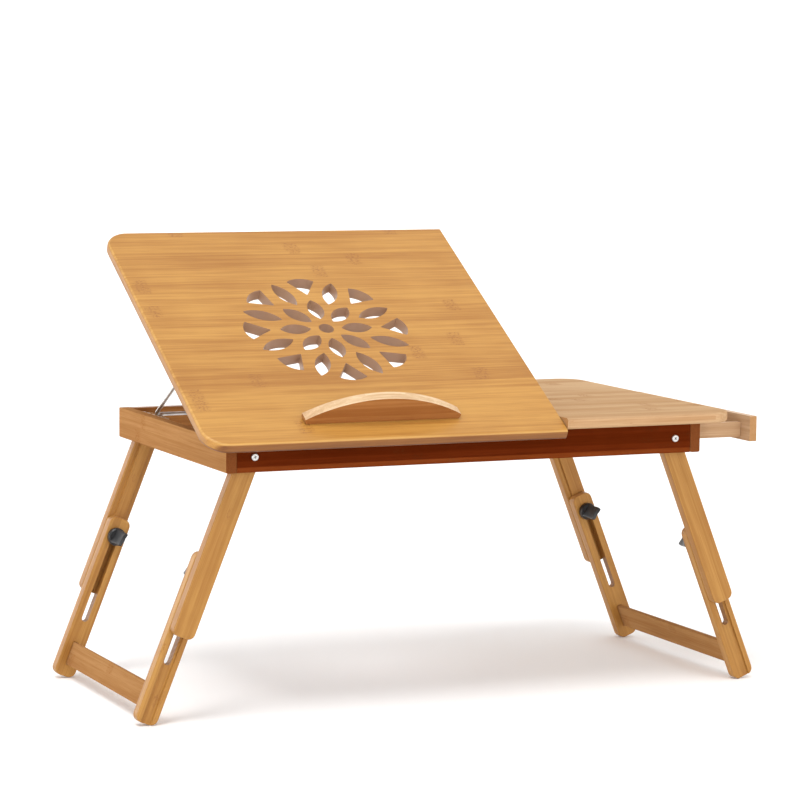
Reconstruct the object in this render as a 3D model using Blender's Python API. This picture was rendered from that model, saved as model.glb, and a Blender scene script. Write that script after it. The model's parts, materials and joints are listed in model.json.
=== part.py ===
"""Folding bamboo laptop stand with a tilting vented top, a fixed side top and a drawer.

Pieces are modelled in tray coordinates: X along the tray from its left end, Y from its
front face to the back, Z up from its lower edge, with the top closed, the drawer shut and
the legs hanging straight down. Empties on the joint axes then turn or slide them to rest.
"""
import math

import bmesh
import bpy
from mathutils import Matrix, Vector

MM = 0.001

# Fits shared by the whole stand
GAP = 0.3 * MM
OVERRUN = 2.0 * MM
ARC_STEP = math.radians(18.5)
TINY_SHARE = 1e-2
ROUND_SIDES = 16

# Tray frame
FRAME_LENGTH = 495.0 * MM
FRAME_DEPTH = 304.0 * MM
FRAME_HEIGHT = 30.0 * MM
RAIL_THICKNESS = 10.5 * MM
RAIL_LOWER_ROUND = 2.0 * MM
RAIL_UPPER_ROUND = 0.8 * MM

# Tops
TOP_THICKNESS = 11.0 * MM
TOP_END_OVERHANG = 27.5 * MM
TOP_SIDE_OVERHANG = 23.0 * MM
TOP_CORNER_RADIUS = 25.0 * MM
TOP_ROLLED_EDGE = 3.5 * MM
SPLIT_SHARE = 0.6828
SPLIT_GAP = 1.0 * MM

# Tilt hinge
TILT_AT_REST = math.radians(30.5)
HINGE_OUT = 3.3 * MM
HINGE_WIDTH = 38.0 * MM
HINGE_PLACE_SHARES = {"left": 0.17, "right": 0.83}
HINGE_BARREL_RADIUS = 2.5 * MM
HINGE_PIN_RADIUS = 1.2 * MM
HINGE_PIN_OVERHANG = 0.8 * MM
HINGE_LEAF_THICKNESS = 1.15 * MM
HINGE_LEAF_REACH = 8.6 * MM
HINGE_CURL_OVERLAP = 2.0 * MM
HINGE_KNUCKLE_SHARE = 1.0 / 3.0

# Ledge that stops a laptop from sliding off
STOPPER_LENGTH = 158.0 * MM
STOPPER_THICKNESS = 11.0 * MM
STOPPER_PEAK = 26.0 * MM
STOPPER_TOE = 5.0 * MM
STOPPER_FROM_FRONT = 26.0 * MM
STOPPER_TOE_ROUND = 2.2 * MM
STOPPER_RIM_ROUND = 1.2 * MM
STOPPER_STEPS = 22

# Flower vent
VENT_ALONG_SHARE = 0.489
VENT_ACROSS_SHARE = 0.507
VENT_REPEATS = 8
VENT_HOLE_RADIUS = 7.5 * MM
INNER_PETAL_START = 16.0 * MM
INNER_PETAL_END = 48.0 * MM
INNER_PETAL_WIDTH = 16.0 * MM
OUTER_PETAL_START = 43.5 * MM
OUTER_PETAL_END = 82.5 * MM
OUTER_PETAL_WIDTH = 15.5 * MM
PETAL_STEPS = 7
RIM_HOLE_APEX = 57.0 * MM
RIM_HOLE_SHOULDER = 80.0 * MM
RIM_HOLE_CROWN = 85.0 * MM
RIM_HOLE_HALF_WIDTH = 14.5 * MM
RIM_HOLE_ROUND = 1.5 * MM
RIM_HOLE_CROWN_STEPS = 3

# Wire prop under the tilting top
PROP_WIRE_RADIUS = 1.8 * MM
PROP_WIRE_DROP = 2.0 * MM
PROP_BEND_RADIUS = 4.0 * MM
PROP_BEND_STEPS = 5
PROP_INSET = 19.0 * MM
PROP_STUB = 14.0 * MM
CLIP_WIDTH = 8.0 * MM
CLIP_FROM_BEND = 2.0 * MM
CLIP_THICKNESS = 1.5 * MM
CLIP_FLANGE_REACH = 12.0 * MM
CLIP_STEPS = 8

# Notched racks that the prop stands on
RACK_WIDTH = 16.2 * MM
RACK_FENCE_WIDTH = 4.0 * MM
RACK_FENCE_HEIGHT = 29.0 * MM
RACK_SHELF_THICKNESS = 7.4 * MM
RACK_LENGTH = 38.4 * MM
RACK_FROM_BACK_RAIL = 25.1 * MM
BAR_FROM_RACK_BACK = 21.8 * MM
RACK_TILTS = (math.radians(35.0), math.radians(30.5), math.radians(25.0))
NOTCH_WIDTH = 4.4 * MM
NOTCH_DEPTH = 3.4 * MM
NOTCH_SLANT = math.radians(20.0)

# Divider under the split
DIVIDER_THICKNESS = 10.0 * MM
DIVIDER_SETBACK = 4.5 * MM
DIVIDER_INSET = 62.0 * MM

# Drawer and its runners
DRAWER_PULL = 72.0 * MM
DRAWER_SIDE_FRONT = 45.5 * MM
DRAWER_SIDE_THICKNESS = 8.0 * MM
DRAWER_SIDE_BASE = 7.0 * MM
DRAWER_SIDE_HEIGHT = 15.0 * MM
DRAWER_FROM_SPLIT = 38.8 * MM
DRAWER_BOTTOM_THICKNESS = 3.0 * MM
DRAWER_BOTTOM_RAISE = 1.5 * MM
DRAWER_GROOVE_DEPTH = 3.0 * MM
DRAWER_FRONT_THICKNESS = 8.0 * MM
DRAWER_FRONT_OVERLAP = 17.5 * MM
DRAWER_FRONT_HEIGHT = 25.4 * MM
DRAWER_FRONT_DROP = 0.4 * MM
DRAWER_FRONT_ROUND = 3.0 * MM
DRAWER_EDGE_ROUND = 0.8 * MM
DRAWER_SLOT_HEADROOM = 1.0 * MM
DRAWER_SLOT_SIDE = 1.5 * MM
RUNNER_WALL = 7.0 * MM
RUNNER_LEDGE_REACH = 6.0 * MM
RUNNER_LEDGE_THICKNESS = 3.2 * MM
RUNNER_FROM_SPLIT = 30.2 * MM
RUNNER_CHAMFER = 1.0 * MM

# Folding telescopic legs
PIVOT_INSET = 28.0 * MM
PIVOT_HEIGHT = 14.5 * MM
LEG_SPLAY = math.radians(21.6)
LEG_WIDTH = 22.0 * MM
LEG_THICKNESS = 12.0 * MM
LEG_RIM_ROUND = 1.2 * MM
UPPER_LEG_END = 179.0 * MM
UPPER_LEG_END_ROUND = 6.5 * MM
KNOB_DISTANCE = 118.0 * MM
LOWER_LEG_LENGTH = 166.5 * MM
LOWER_LEG_START = 99.0 * MM
LOWER_LEG_ROUND = 7.0 * MM
SLOT_WIDTH = 6.8 * MM
SLOT_START = 11.2 * MM
SLOT_END = 109.0 * MM
GROOVE_WIDTH = 11.2 * MM
GROOVE_DEPTH = 2.5 * MM
TONGUE_START = 16.0 * MM
TONGUE_END_MARGIN = 3.0 * MM
CROSSBAR_START = 131.0 * MM
CROSSBAR_HEIGHT = 23.5 * MM
CROSSBAR_THICKNESS = 5.0 * MM
CROSSBAR_HOUSING = 5.0 * MM
CROSSBAR_ROUND = 1.0 * MM

# Pivot bolts
BOLT_RADIUS = 2.0 * MM
BOLT_HEAD_RADIUS = 3.6 * MM
BOLT_HEAD_HEIGHT = 1.6 * MM
BOLT_HEAD_DOME = 0.7 * MM
BOLT_TAIL = 0.6 * MM
NUT_RADIUS = 4.6 * MM
NUT_HEIGHT = 2.6 * MM
NUT_SIDES = 6

# Locking knobs
STUD_RADIUS = 2.4 * MM
STUD_TIP_MARGIN = 0.5 * MM
STUD_IN_KNOB = 4.2 * MM
INSERT_RADIUS = 4.0 * MM
INSERT_FLANGE_RADIUS = 5.0 * MM
INSERT_FLANGE_HEIGHT = 1.0 * MM
INSERT_LENGTH = 9.0 * MM
KNOB_BASE_RADIUS = 9.0 * MM
KNOB_BASE_HEIGHT = 5.4 * MM
KNOB_BASE_ROUND = 1.0 * MM
KNOB_WING_SINK = 0.6 * MM
KNOB_WING_INSET = 1.4 * MM
KNOB_WING_FOOT_HALF = 4.8 * MM
KNOB_SHOULDER_HEIGHT = 13.5 * MM
KNOB_SHOULDER_REACH = 6.9 * MM
KNOB_SHOULDER_HALF = 2.3 * MM
KNOB_BLADE_HEIGHT = 19.0 * MM
KNOB_BLADE_REACH = 7.1 * MM
KNOB_BLADE_HALF = 2.0 * MM
KNOB_HEIGHT = 23.2 * MM
KNOB_TIP_REACH = 7.0 * MM
KNOB_TIP_HALF = 1.7 * MM
KNOB_TIP_DIP = 0.9 * MM
KNOB_EAR_ROUND = 1.1 * MM
KNOB_WING_LEAN = math.radians(33.0)

# Finishes as colour, roughness and metallic value
BAMBOO_LIGHT = ((0.62, 0.35, 0.14), 0.42, 0.0)
BAMBOO_DARK = ((0.50, 0.24, 0.08), 0.45, 0.0)
BAMBOO_PALE = ((0.68, 0.44, 0.21), 0.50, 0.0)
STEEL = ((0.62, 0.61, 0.58), 0.30, 1.0)
BRASS = ((0.70, 0.52, 0.22), 0.35, 1.0)
BLACK_PLASTIC = ((0.018, 0.018, 0.018), 0.38, 0.0)

# Places worked out from the sizes above
TOP_UNDERSIDE = FRAME_HEIGHT + GAP
HINGE_Y = -HINGE_OUT
HINGE_Z = FRAME_HEIGHT + GAP / 2
TOP_FRONT = -TOP_SIDE_OVERHANG
TOP_BACK = FRAME_DEPTH + TOP_SIDE_OVERHANG
SPLIT_X = FRAME_LENGTH * SPLIT_SHARE
TILT_TOP_RIGHT = SPLIT_X - SPLIT_GAP / 2
FIXED_TOP_LEFT = SPLIT_X + SPLIT_GAP / 2
TILT_TOP_LEFT = -TOP_END_OVERHANG
FIXED_TOP_RIGHT = FRAME_LENGTH + TOP_END_OVERHANG
VENT_X = TILT_TOP_LEFT + VENT_ALONG_SHARE * (TILT_TOP_RIGHT - TILT_TOP_LEFT)
VENT_Y = TOP_FRONT + VENT_ACROSS_SHARE * (TOP_BACK - TOP_FRONT)
DIVIDER_LEFT = SPLIT_X - DIVIDER_SETBACK
RACK_BACK = FRAME_DEPTH - RAIL_THICKNESS - RACK_FROM_BACK_RAIL
RACK_FRONT = RACK_BACK - RACK_LENGTH
BAR_AT_REST_Y = RACK_BACK - BAR_FROM_RACK_BACK
PROP_ARM = (BAR_AT_REST_Y - HINGE_Y) / (2 * math.cos(TILT_AT_REST))
PROP_PIVOT_Y = HINGE_Y + PROP_ARM
PROP_PIVOT_Z = TOP_UNDERSIDE - GAP - PROP_WIRE_DROP
PROP_LEFT = PROP_INSET
PROP_RIGHT = DIVIDER_LEFT - (PROP_INSET - RAIL_THICKNESS)
RACK_SHELF_TOP = PROP_PIVOT_Z - PROP_WIRE_RADIUS - GAP
UPPER_LEG_OUTER = RAIL_THICKNESS + GAP
UPPER_LEG_INNER = UPPER_LEG_OUTER + LEG_THICKNESS
LOWER_LEG_OUTER = UPPER_LEG_INNER + GAP
LOWER_LEG_INNER = LOWER_LEG_OUTER + LEG_THICKNESS
KNOB_FOOT = LOWER_LEG_INNER + GAP
TONGUE_WIDTH = GROOVE_WIDTH - 2 * GAP
TONGUE_HEIGHT = GROOVE_DEPTH
FOOT_DISTANCE = LOWER_LEG_START + LOWER_LEG_LENGTH
DRAWER_FRONT_FACE = FRAME_LENGTH + GAP
DRAWER_BACK_END = SPLIT_X + DRAWER_FROM_SPLIT
DRAWER_SIDE_TOP = DRAWER_SIDE_BASE + DRAWER_SIDE_HEIGHT
DRAWER_BOTTOM_BASE = DRAWER_SIDE_BASE + DRAWER_BOTTOM_RAISE
DRAWER_BOTTOM_TOP = DRAWER_BOTTOM_BASE + DRAWER_BOTTOM_THICKNESS

PLANES = {
    "X": Matrix(((0, 0, 1), (1, 0, 0), (0, 1, 0))),
    "Y": Matrix(((1, 0, 0), (0, 0, 1), (0, 1, 0))),
    "Z": Matrix(((1, 0, 0), (0, 1, 0), (0, 0, 1))),
}
ROWS = ("front", "back")
SIDES = ("left", "right")


def foot_reach():
    """How far a foot's rounded outer corner lies outside its pivot, along X."""
    along = FOOT_DISTANCE - LOWER_LEG_ROUND
    across = LEG_WIDTH / 2 - LOWER_LEG_ROUND
    return along * math.sin(LEG_SPLAY) + across * math.cos(LEG_SPLAY) + LOWER_LEG_ROUND


def foot_drop():
    """How far a foot's rounded inner corner lies below its pivot."""
    along = FOOT_DISTANCE - LOWER_LEG_ROUND
    across = LEG_WIDTH / 2 - LOWER_LEG_ROUND
    return along * math.cos(LEG_SPLAY) + across * math.sin(LEG_SPLAY) + LOWER_LEG_ROUND


def tilted_front_reach():
    """The Y of the tilted top's rolled front edge at rest."""
    back_of_edge = TOP_FRONT + TOP_ROLLED_EDGE - HINGE_Y
    above = TOP_UNDERSIDE + TOP_THICKNESS - TOP_ROLLED_EDGE - HINGE_Z
    turned = back_of_edge * math.cos(TILT_AT_REST) - above * math.sin(TILT_AT_REST)
    return HINGE_Y + turned - TOP_ROLLED_EDGE


def tray_corner():
    """Where the tray's lower left front corner lies from the middle of the floor area."""
    left = PIVOT_INSET - foot_reach()
    right = max(FRAME_LENGTH - left, DRAWER_FRONT_FACE + DRAWER_PULL + DRAWER_FRONT_THICKNESS)
    front = tilted_front_reach()
    return Vector((-(left + right) / 2, -(front + TOP_BACK) / 2, foot_drop() - PIVOT_HEIGHT))


def from_rail(row, distance):
    """The Y that lies a distance inside the front or the back face of the tray."""
    return distance if row == "front" else FRAME_DEPTH - distance


def from_end(side, distance):
    """The X that lies a distance inside the left or the right face of the tray."""
    return distance if side == "left" else FRAME_LENGTH - distance


def rounded_polygon(corners):
    """Points of a closed outline from corners given as (u, v, radius)."""
    points = []
    for index, (u, v, radius) in enumerate(corners):
        corner = Vector((u, v))
        if radius <= 0:
            points.append(corner)
            continue
        before = (Vector(corners[index - 1][:2]) - corner).normalized()
        after = (Vector(corners[(index + 1) % len(corners)][:2]) - corner).normalized()
        half = before.angle(after) / 2
        centre = corner + (before + after).normalized() * (radius / math.sin(half))
        start = corner + before * (radius / math.tan(half)) - centre
        end = corner + after * (radius / math.tan(half)) - centre
        sweep = math.atan2(start.cross(end), start.dot(end))
        steps = max(2, math.ceil(abs(sweep) / ARC_STEP))
        for step in range(steps + 1):
            turn = Matrix.Rotation(sweep * step / steps, 2)
            points.append(centre + turn @ start)
    return without_doubles(points)


def without_doubles(points):
    """The same outline without points that lie on their neighbour."""
    kept = []
    for point in points:
        if not kept or (point - kept[-1]).length > GAP * TINY_SHARE:
            kept.append(point)
    if (kept[0] - kept[-1]).length <= GAP * TINY_SHARE:
        kept.pop()
    return kept


def rectangle(u_low, u_high, v_low, v_high, radius=0.0):
    """A rectangle's outline with all its corners rounded alike."""
    return rounded_polygon([
        (u_low, v_low, radius),
        (u_high, v_low, radius),
        (u_high, v_high, radius),
        (u_low, v_high, radius),
    ])


def circle(u, v, radius, sides=ROUND_SIDES):
    """A circle's outline."""
    angles = [math.tau * index / sides for index in range(sides)]
    return [Vector((u + radius * math.cos(a), v + radius * math.sin(a))) for a in angles]


def slab(outline, axis, low, high):
    """A flat outline pushed along an axis from low to high."""
    mesh = bmesh.new()
    plane = PLANES[axis]
    corners = [mesh.verts.new(plane @ Vector((point[0], point[1], low))) for point in outline]
    face = mesh.faces.new(corners)
    grown = bmesh.ops.extrude_face_region(mesh, geom=[face])
    moved = [item for item in grown["geom"] if isinstance(item, bmesh.types.BMVert)]
    bmesh.ops.translate(mesh, verts=moved, vec=plane @ Vector((0, 0, high - low)))
    bmesh.ops.recalc_face_normals(mesh, faces=mesh.faces)
    return mesh


def block(low, high):
    """A plain rectangular solid between two corners."""
    return slab(rectangle(low[0], high[0], low[1], high[1]), "Z", low[2], high[2])


def turned(profile, axis, centre, sides=ROUND_SIDES):
    """A profile of (radius, height) points spun about an axis through a centre."""
    mesh = bmesh.new()
    plane = PLANES[axis]
    middle = Vector(centre)
    points = [mesh.verts.new(middle + plane @ Vector((radius, 0, height))) for radius, height in profile]
    edges = [mesh.edges.new(pair) for pair in zip(points, points[1:])]
    bmesh.ops.spin(
        mesh,
        geom=points + edges,
        cent=middle,
        axis=plane @ Vector((0, 0, 1)),
        angle=math.tau,
        steps=sides,
        use_merge=True,
    )
    bmesh.ops.remove_doubles(mesh, verts=mesh.verts, dist=GAP * TINY_SHARE)
    bmesh.ops.recalc_face_normals(mesh, faces=mesh.faces)
    return mesh


def round_rims(mesh, axis, radius, segments, keep=None):
    """Rounds the edges round both flat ends of a slab, apart from those that keep picks."""
    normal = PLANES[axis] @ Vector((0, 0, 1))
    ends = [face for face in mesh.faces if abs(face.normal.dot(normal)) > math.cos(ARC_STEP)]
    rims = {edge for face in ends for edge in face.edges}
    chosen = [edge for edge in rims if keep is None or not keep(edge)]
    bmesh.ops.bevel(
        mesh,
        geom=chosen,
        offset=radius,
        offset_type="OFFSET",
        segments=segments,
        profile=0.5,
        affect="EDGES",
        clamp_overlap=True,
    )
    return mesh


def merged(meshes):
    """Several meshes put into one."""
    whole = bmesh.new()
    for mesh in meshes:
        data = bpy.data.meshes.new("shape")
        mesh.to_mesh(data)
        whole.from_mesh(data)
        bpy.data.meshes.remove(data)
        mesh.free()
    return whole


class Joint:
    """An empty on a joint's axis that carries the pieces moving with it."""

    def __init__(self, name, at, parent=None, turn=(0.0, 0.0, 0.0), shift=(0.0, 0.0, 0.0)):
        self.at = Vector(at)
        self.empty = bpy.data.objects.new(name, None)
        bpy.context.scene.collection.objects.link(self.empty)
        if parent is not None:
            self.empty.parent = parent.empty
            self.empty.location = self.at - parent.at + Vector(shift)
        self.empty.rotation_euler = turn


def finish(name, look):
    """A Principled material of one colour, roughness and metallic value."""
    colour, roughness, metallic = look
    material = bpy.data.materials.new(name)
    material.use_nodes = True
    shader = material.node_tree.nodes["Principled BSDF"]
    shader.inputs["Base Color"].default_value = (*colour, 1.0)
    shader.inputs["Roughness"].default_value = roughness
    shader.inputs["Metallic"].default_value = metallic
    material.diffuse_color = (*colour, 1.0)
    return material


def add_object(name, meshes, joint):
    """An object from meshes in tray coordinates, carried by a joint's empty."""
    data = bpy.data.meshes.new(name)
    whole = merged(meshes)
    whole.to_mesh(data)
    whole.free()
    made = bpy.data.objects.new(name, data)
    bpy.context.scene.collection.objects.link(made)
    made.parent = joint.empty
    made.location = -joint.at
    return made


def piece(name, meshes, joint, look, smooth=False):
    """A finished piece of the stand."""
    made = add_object(name, meshes, joint)
    made.data.materials.append(finish(name + "_finish", look))
    if smooth:
        made.data.shade_smooth()
        made.data.set_sharp_from_angle(angle=ARC_STEP * 2)
    return made


def shape_by(made, meshes, joint, operation="DIFFERENCE"):
    """Cuts meshes out of a piece, or joins them to it, by a Boolean with a hidden tool."""
    tool = add_object(made.name + "_" + operation.lower(), meshes, joint)
    tool.hide_render = True
    tool.display_type = "WIRE"
    change = made.modifiers.new(operation.title(), "BOOLEAN")
    change.operation = operation
    change.solver = "EXACT"
    change.object = tool
    return made


def rail_section(thickness, height, outer_low):
    """A rail's section with its lower edges rounded and its upper edges eased."""
    return rounded_polygon([
        (outer_low, 0.0, RAIL_LOWER_ROUND),
        (outer_low + thickness, 0.0, RAIL_LOWER_ROUND),
        (outer_low + thickness, height, RAIL_UPPER_ROUND),
        (outer_low, height, RAIL_UPPER_ROUND),
    ])


def build_long_rails(stand):
    """Front and back rails, bored for the leg bolts, the front one let in for the hinges."""
    low = RAIL_THICKNESS + GAP
    high = FRAME_LENGTH - RAIL_THICKNESS - GAP
    for row in ROWS:
        outer = 0.0 if row == "front" else FRAME_DEPTH - RAIL_THICKNESS
        section = rail_section(RAIL_THICKNESS, FRAME_HEIGHT, outer)
        rail = piece(row + "_rail", [slab(section, "X", low, high)], stand, BAMBOO_DARK)
        cuts = [bolt_hole(side, row) for side in SIDES]
        if row == "front":
            cuts += [hinge_leaf_pocket(hinge_place(end), "frame") for end in SIDES]
        shape_by(rail, cuts, stand)


def bolt_hole(side, row):
    """The round hole for one leg bolt through rail and leg."""
    x = from_end(side, PIVOT_INSET)
    ends = sorted((from_rail(row, -OVERRUN), from_rail(row, UPPER_LEG_INNER + GROOVE_DEPTH + OVERRUN)))
    return slab(circle(x, PIVOT_HEIGHT, BOLT_RADIUS + GAP), "Y", ends[0], ends[1])


def build_end_rails(stand):
    """End rails over the full depth; the right one has the slot that the drawer runs through."""
    left = slab(rail_section(RAIL_THICKNESS, FRAME_HEIGHT, 0.0), "Y", 0.0, FRAME_DEPTH)
    piece("left_end_rail", [left], stand, BAMBOO_LIGHT)
    section = rail_section(RAIL_THICKNESS, FRAME_HEIGHT, FRAME_LENGTH - RAIL_THICKNESS)
    rail = piece("right_end_rail", [slab(section, "Y", 0.0, FRAME_DEPTH)], stand, BAMBOO_LIGHT)
    slot = block(
        (FRAME_LENGTH - RAIL_THICKNESS - OVERRUN, DRAWER_SIDE_FRONT - DRAWER_SLOT_SIDE, DRAWER_SIDE_BASE - GAP),
        (
            FRAME_LENGTH + OVERRUN,
            FRAME_DEPTH - DRAWER_SIDE_FRONT + DRAWER_SLOT_SIDE,
            DRAWER_SIDE_TOP + DRAWER_SLOT_HEADROOM,
        ),
    )
    shape_by(rail, [slot], stand)


def build_divider(stand):
    """The batten under the split, which the tilting top's edge rests on."""
    section = rail_section(DIVIDER_THICKNESS, FRAME_HEIGHT, DIVIDER_LEFT)
    piece("divider", [slab(section, "Y", DIVIDER_INSET, FRAME_DEPTH - DIVIDER_INSET)], stand, BAMBOO_LIGHT)


def top_board(left, right, rounded_side):
    """A top board with two rounded corners and its outer edges rolled."""
    left_radius = TOP_CORNER_RADIUS if rounded_side == "left" else 0.0
    right_radius = TOP_CORNER_RADIUS if rounded_side == "right" else 0.0
    outline = rounded_polygon([
        (left, TOP_FRONT, left_radius),
        (right, TOP_FRONT, right_radius),
        (right, TOP_BACK, right_radius),
        (left, TOP_BACK, left_radius),
    ])
    split = right if rounded_side == "left" else left

    def at_split(edge):
        return all(abs(vert.co.x - split) < GAP for vert in edge.verts)

    board = slab(outline, "Z", TOP_UNDERSIDE, TOP_UNDERSIDE + TOP_THICKNESS)
    return round_rims(board, "Z", TOP_ROLLED_EDGE, 3, keep=at_split)


def build_fixed_top(stand):
    """The fixed board over the drawer."""
    board = top_board(FIXED_TOP_LEFT, FIXED_TOP_RIGHT, "right")
    piece("fixed_top", [board], stand, BAMBOO_PALE)


def petal(start, end, width, angle):
    """A pointed petal between two radii of the vent, bounded by two circular arcs."""
    length = end - start
    radius = (length ** 2 + width ** 2) / (4 * width)
    half_angle = math.asin(length / (2 * radius))
    points = []
    for flank in (1, -1):
        for step in range(PETAL_STEPS):
            swing = flank * half_angle * (1 - 2 * step / PETAL_STEPS)
            along = (start + end) / 2 + radius * math.sin(swing)
            across = flank * (radius * math.cos(swing) - (radius - width / 2))
            points.append(vent_point(along, across, angle))
    return points


def rim_hole(angle):
    """A rounded triangular hole at the vent's rim, with its point towards the middle."""
    half_spread = math.atan2(RIM_HOLE_HALF_WIDTH, RIM_HOLE_SHOULDER)
    bulge = RIM_HOLE_CROWN - RIM_HOLE_SHOULDER
    corners = [(RIM_HOLE_APEX, 0.0, RIM_HOLE_ROUND)]
    for step in range(RIM_HOLE_CROWN_STEPS + 1):
        share = 2 * step / RIM_HOLE_CROWN_STEPS - 1
        across = RIM_HOLE_HALF_WIDTH * math.sin(share * half_spread) / math.sin(half_spread)
        along = RIM_HOLE_SHOULDER + bulge * (1 - share ** 2)
        ends = step in (0, RIM_HOLE_CROWN_STEPS)
        corners.append((along, across, RIM_HOLE_ROUND if ends else 0.0))
    return [vent_point(point[0], point[1], angle) for point in rounded_polygon(corners)]


def vent_point(along, across, angle):
    """A point given along and across a ray from the vent's centre."""
    centre = Vector((VENT_X, VENT_Y))
    return centre + Matrix.Rotation(angle, 2) @ Vector((along, across))


def vent_cuts():
    """All the holes of the flower vent, as solids to cut away."""
    step = math.tau / VENT_REPEATS
    outlines = [circle(*vent_point(0.0, 0.0, 0.0), VENT_HOLE_RADIUS)]
    for index in range(VENT_REPEATS):
        angle = index * step
        outlines.append(petal(INNER_PETAL_START, INNER_PETAL_END, INNER_PETAL_WIDTH, angle))
        outlines.append(petal(OUTER_PETAL_START, OUTER_PETAL_END, OUTER_PETAL_WIDTH, angle + step / 2))
        outlines.append(rim_hole(angle))
    low = TOP_UNDERSIDE - OVERRUN
    high = TOP_UNDERSIDE + TOP_THICKNESS + OVERRUN
    return [slab(outline, "Z", low, high) for outline in outlines]


def build_tilt_top(tilt):
    """The tilting board with its flower vent and its hinge pockets."""
    board = top_board(TILT_TOP_LEFT, TILT_TOP_RIGHT, "left")
    top = piece("tilt_top", [board], tilt, BAMBOO_LIGHT)
    shape_by(top, vent_cuts(), tilt)
    shape_by(top, [hinge_leaf_pocket(hinge_place(end), "top") for end in SIDES], tilt)


def build_stopper(tilt):
    """The arched ledge across the tilting top."""
    half = STOPPER_LENGTH / 2
    rise = STOPPER_PEAK - STOPPER_TOE
    radius = (half ** 2 + rise ** 2) / (2 * rise)
    middle = (TILT_TOP_LEFT + TILT_TOP_RIGHT) / 2
    base = TOP_UNDERSIDE + TOP_THICKNESS + GAP
    corners = [(middle + half, base, STOPPER_TOE_ROUND)]
    for step in range(STOPPER_STEPS + 1):
        across = half * (1 - 2 * step / STOPPER_STEPS)
        height = STOPPER_PEAK - radius + math.sqrt(radius ** 2 - across ** 2)
        corners.append((middle + across, base + height, 0.0))
    corners.append((middle - half, base, STOPPER_TOE_ROUND))
    front = TOP_FRONT + STOPPER_FROM_FRONT
    ledge = slab(rounded_polygon(corners), "Y", front, front + STOPPER_THICKNESS)

    def on_board(edge):
        return all(vert.co.z < base + GAP for vert in edge.verts)

    round_rims(ledge, "Y", STOPPER_RIM_ROUND, 2, keep=on_board)
    piece("stopper_ledge", [ledge], tilt, BAMBOO_PALE)


def hinge_place(end):
    """The X of the middle of the left or the right hinge."""
    return TILT_TOP_RIGHT * HINGE_PLACE_SHARES[end]


def hinge_leaf_pocket(x, carrier):
    """The pocket that a hinge leaf, and above it the barrel, is let into."""
    half = HINGE_WIDTH / 2 + HINGE_PIN_OVERHANG + GAP
    back = HINGE_LEAF_REACH + GAP
    if carrier == "frame":
        return block(
            (x - half, -OVERRUN, HINGE_Z - GAP / 2 - HINGE_LEAF_THICKNESS - GAP),
            (x + half, back, FRAME_HEIGHT + OVERRUN),
        )
    room = HINGE_BARREL_RADIUS + GAP
    front = HINGE_Y - room
    outline = [
        (front, TOP_UNDERSIDE - OVERRUN),
        (back, TOP_UNDERSIDE - OVERRUN),
        (back, HINGE_Z + GAP / 2 + HINGE_LEAF_THICKNESS + GAP),
        (HINGE_Y + room, HINGE_Z + GAP / 2 + HINGE_LEAF_THICKNESS + GAP),
        (HINGE_Y + room, HINGE_Z + room),
        (front, HINGE_Z + room),
    ]
    return slab(outline, "X", x - half, x + half)


def knuckle_bounds(x, carrier):
    """The X stretches of a hinge's barrel that belong to one leaf."""
    width = HINGE_WIDTH * HINGE_KNUCKLE_SHARE
    low = x - HINGE_WIDTH / 2
    high = x + HINGE_WIDTH / 2
    if carrier == "frame":
        return [(low, low + width - GAP / 2), (high - width + GAP / 2, high)]
    return [(low + width + GAP / 2, high - width - GAP / 2)]


def build_hinge_leaf(end, carrier, joint):
    """One leaf: a flat plate that curls into its knuckles, bored for the pin."""
    x = hinge_place(end)
    near = HINGE_Z + (GAP / 2 if carrier == "top" else -GAP / 2)
    far = near + (HINGE_LEAF_THICKNESS if carrier == "top" else -HINGE_LEAF_THICKNESS)
    low, high = sorted((near, far))
    plate_front = HINGE_Y + HINGE_BARREL_RADIUS + GAP
    plate = block((x - HINGE_WIDTH / 2, plate_front, low), (x + HINGE_WIDTH / 2, HINGE_LEAF_REACH, high))
    leaf = piece("hinge_" + carrier + "_leaf_" + end, [plate], joint, BRASS)
    for start, stop in knuckle_bounds(x, carrier):
        ring = circle(HINGE_Y, HINGE_Z, HINGE_BARREL_RADIUS)
        arm = block((start, HINGE_Y, low), (stop, plate_front + HINGE_CURL_OVERLAP, high))
        shape_by(leaf, [arm], joint, "UNION")
        shape_by(leaf, [slab(ring, "X", start, stop)], joint, "UNION")
    bore = circle(HINGE_Y, HINGE_Z, HINGE_PIN_RADIUS + GAP)
    shape_by(leaf, [slab(bore, "X", x - HINGE_WIDTH, x + HINGE_WIDTH)], joint)


def build_hinges(stand, tilt):
    """Both butt hinges: a leaf on the frame, a leaf on the top and the pin."""
    half = HINGE_WIDTH / 2 + HINGE_PIN_OVERHANG
    for end in SIDES:
        build_hinge_leaf(end, "frame", stand)
        build_hinge_leaf(end, "top", tilt)
        x = hinge_place(end)
        pin = slab(circle(HINGE_Y, HINGE_Z, HINGE_PIN_RADIUS), "X", x - half, x + half)
        piece("hinge_pin_" + end, [pin], stand, STEEL)


def clip_place(end):
    """The X of a wire clip's middle, over the wire's turned-in end."""
    inward = PROP_BEND_RADIUS + CLIP_FROM_BEND + CLIP_WIDTH / 2
    return PROP_LEFT + inward if end == "left" else PROP_RIGHT - inward


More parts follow.
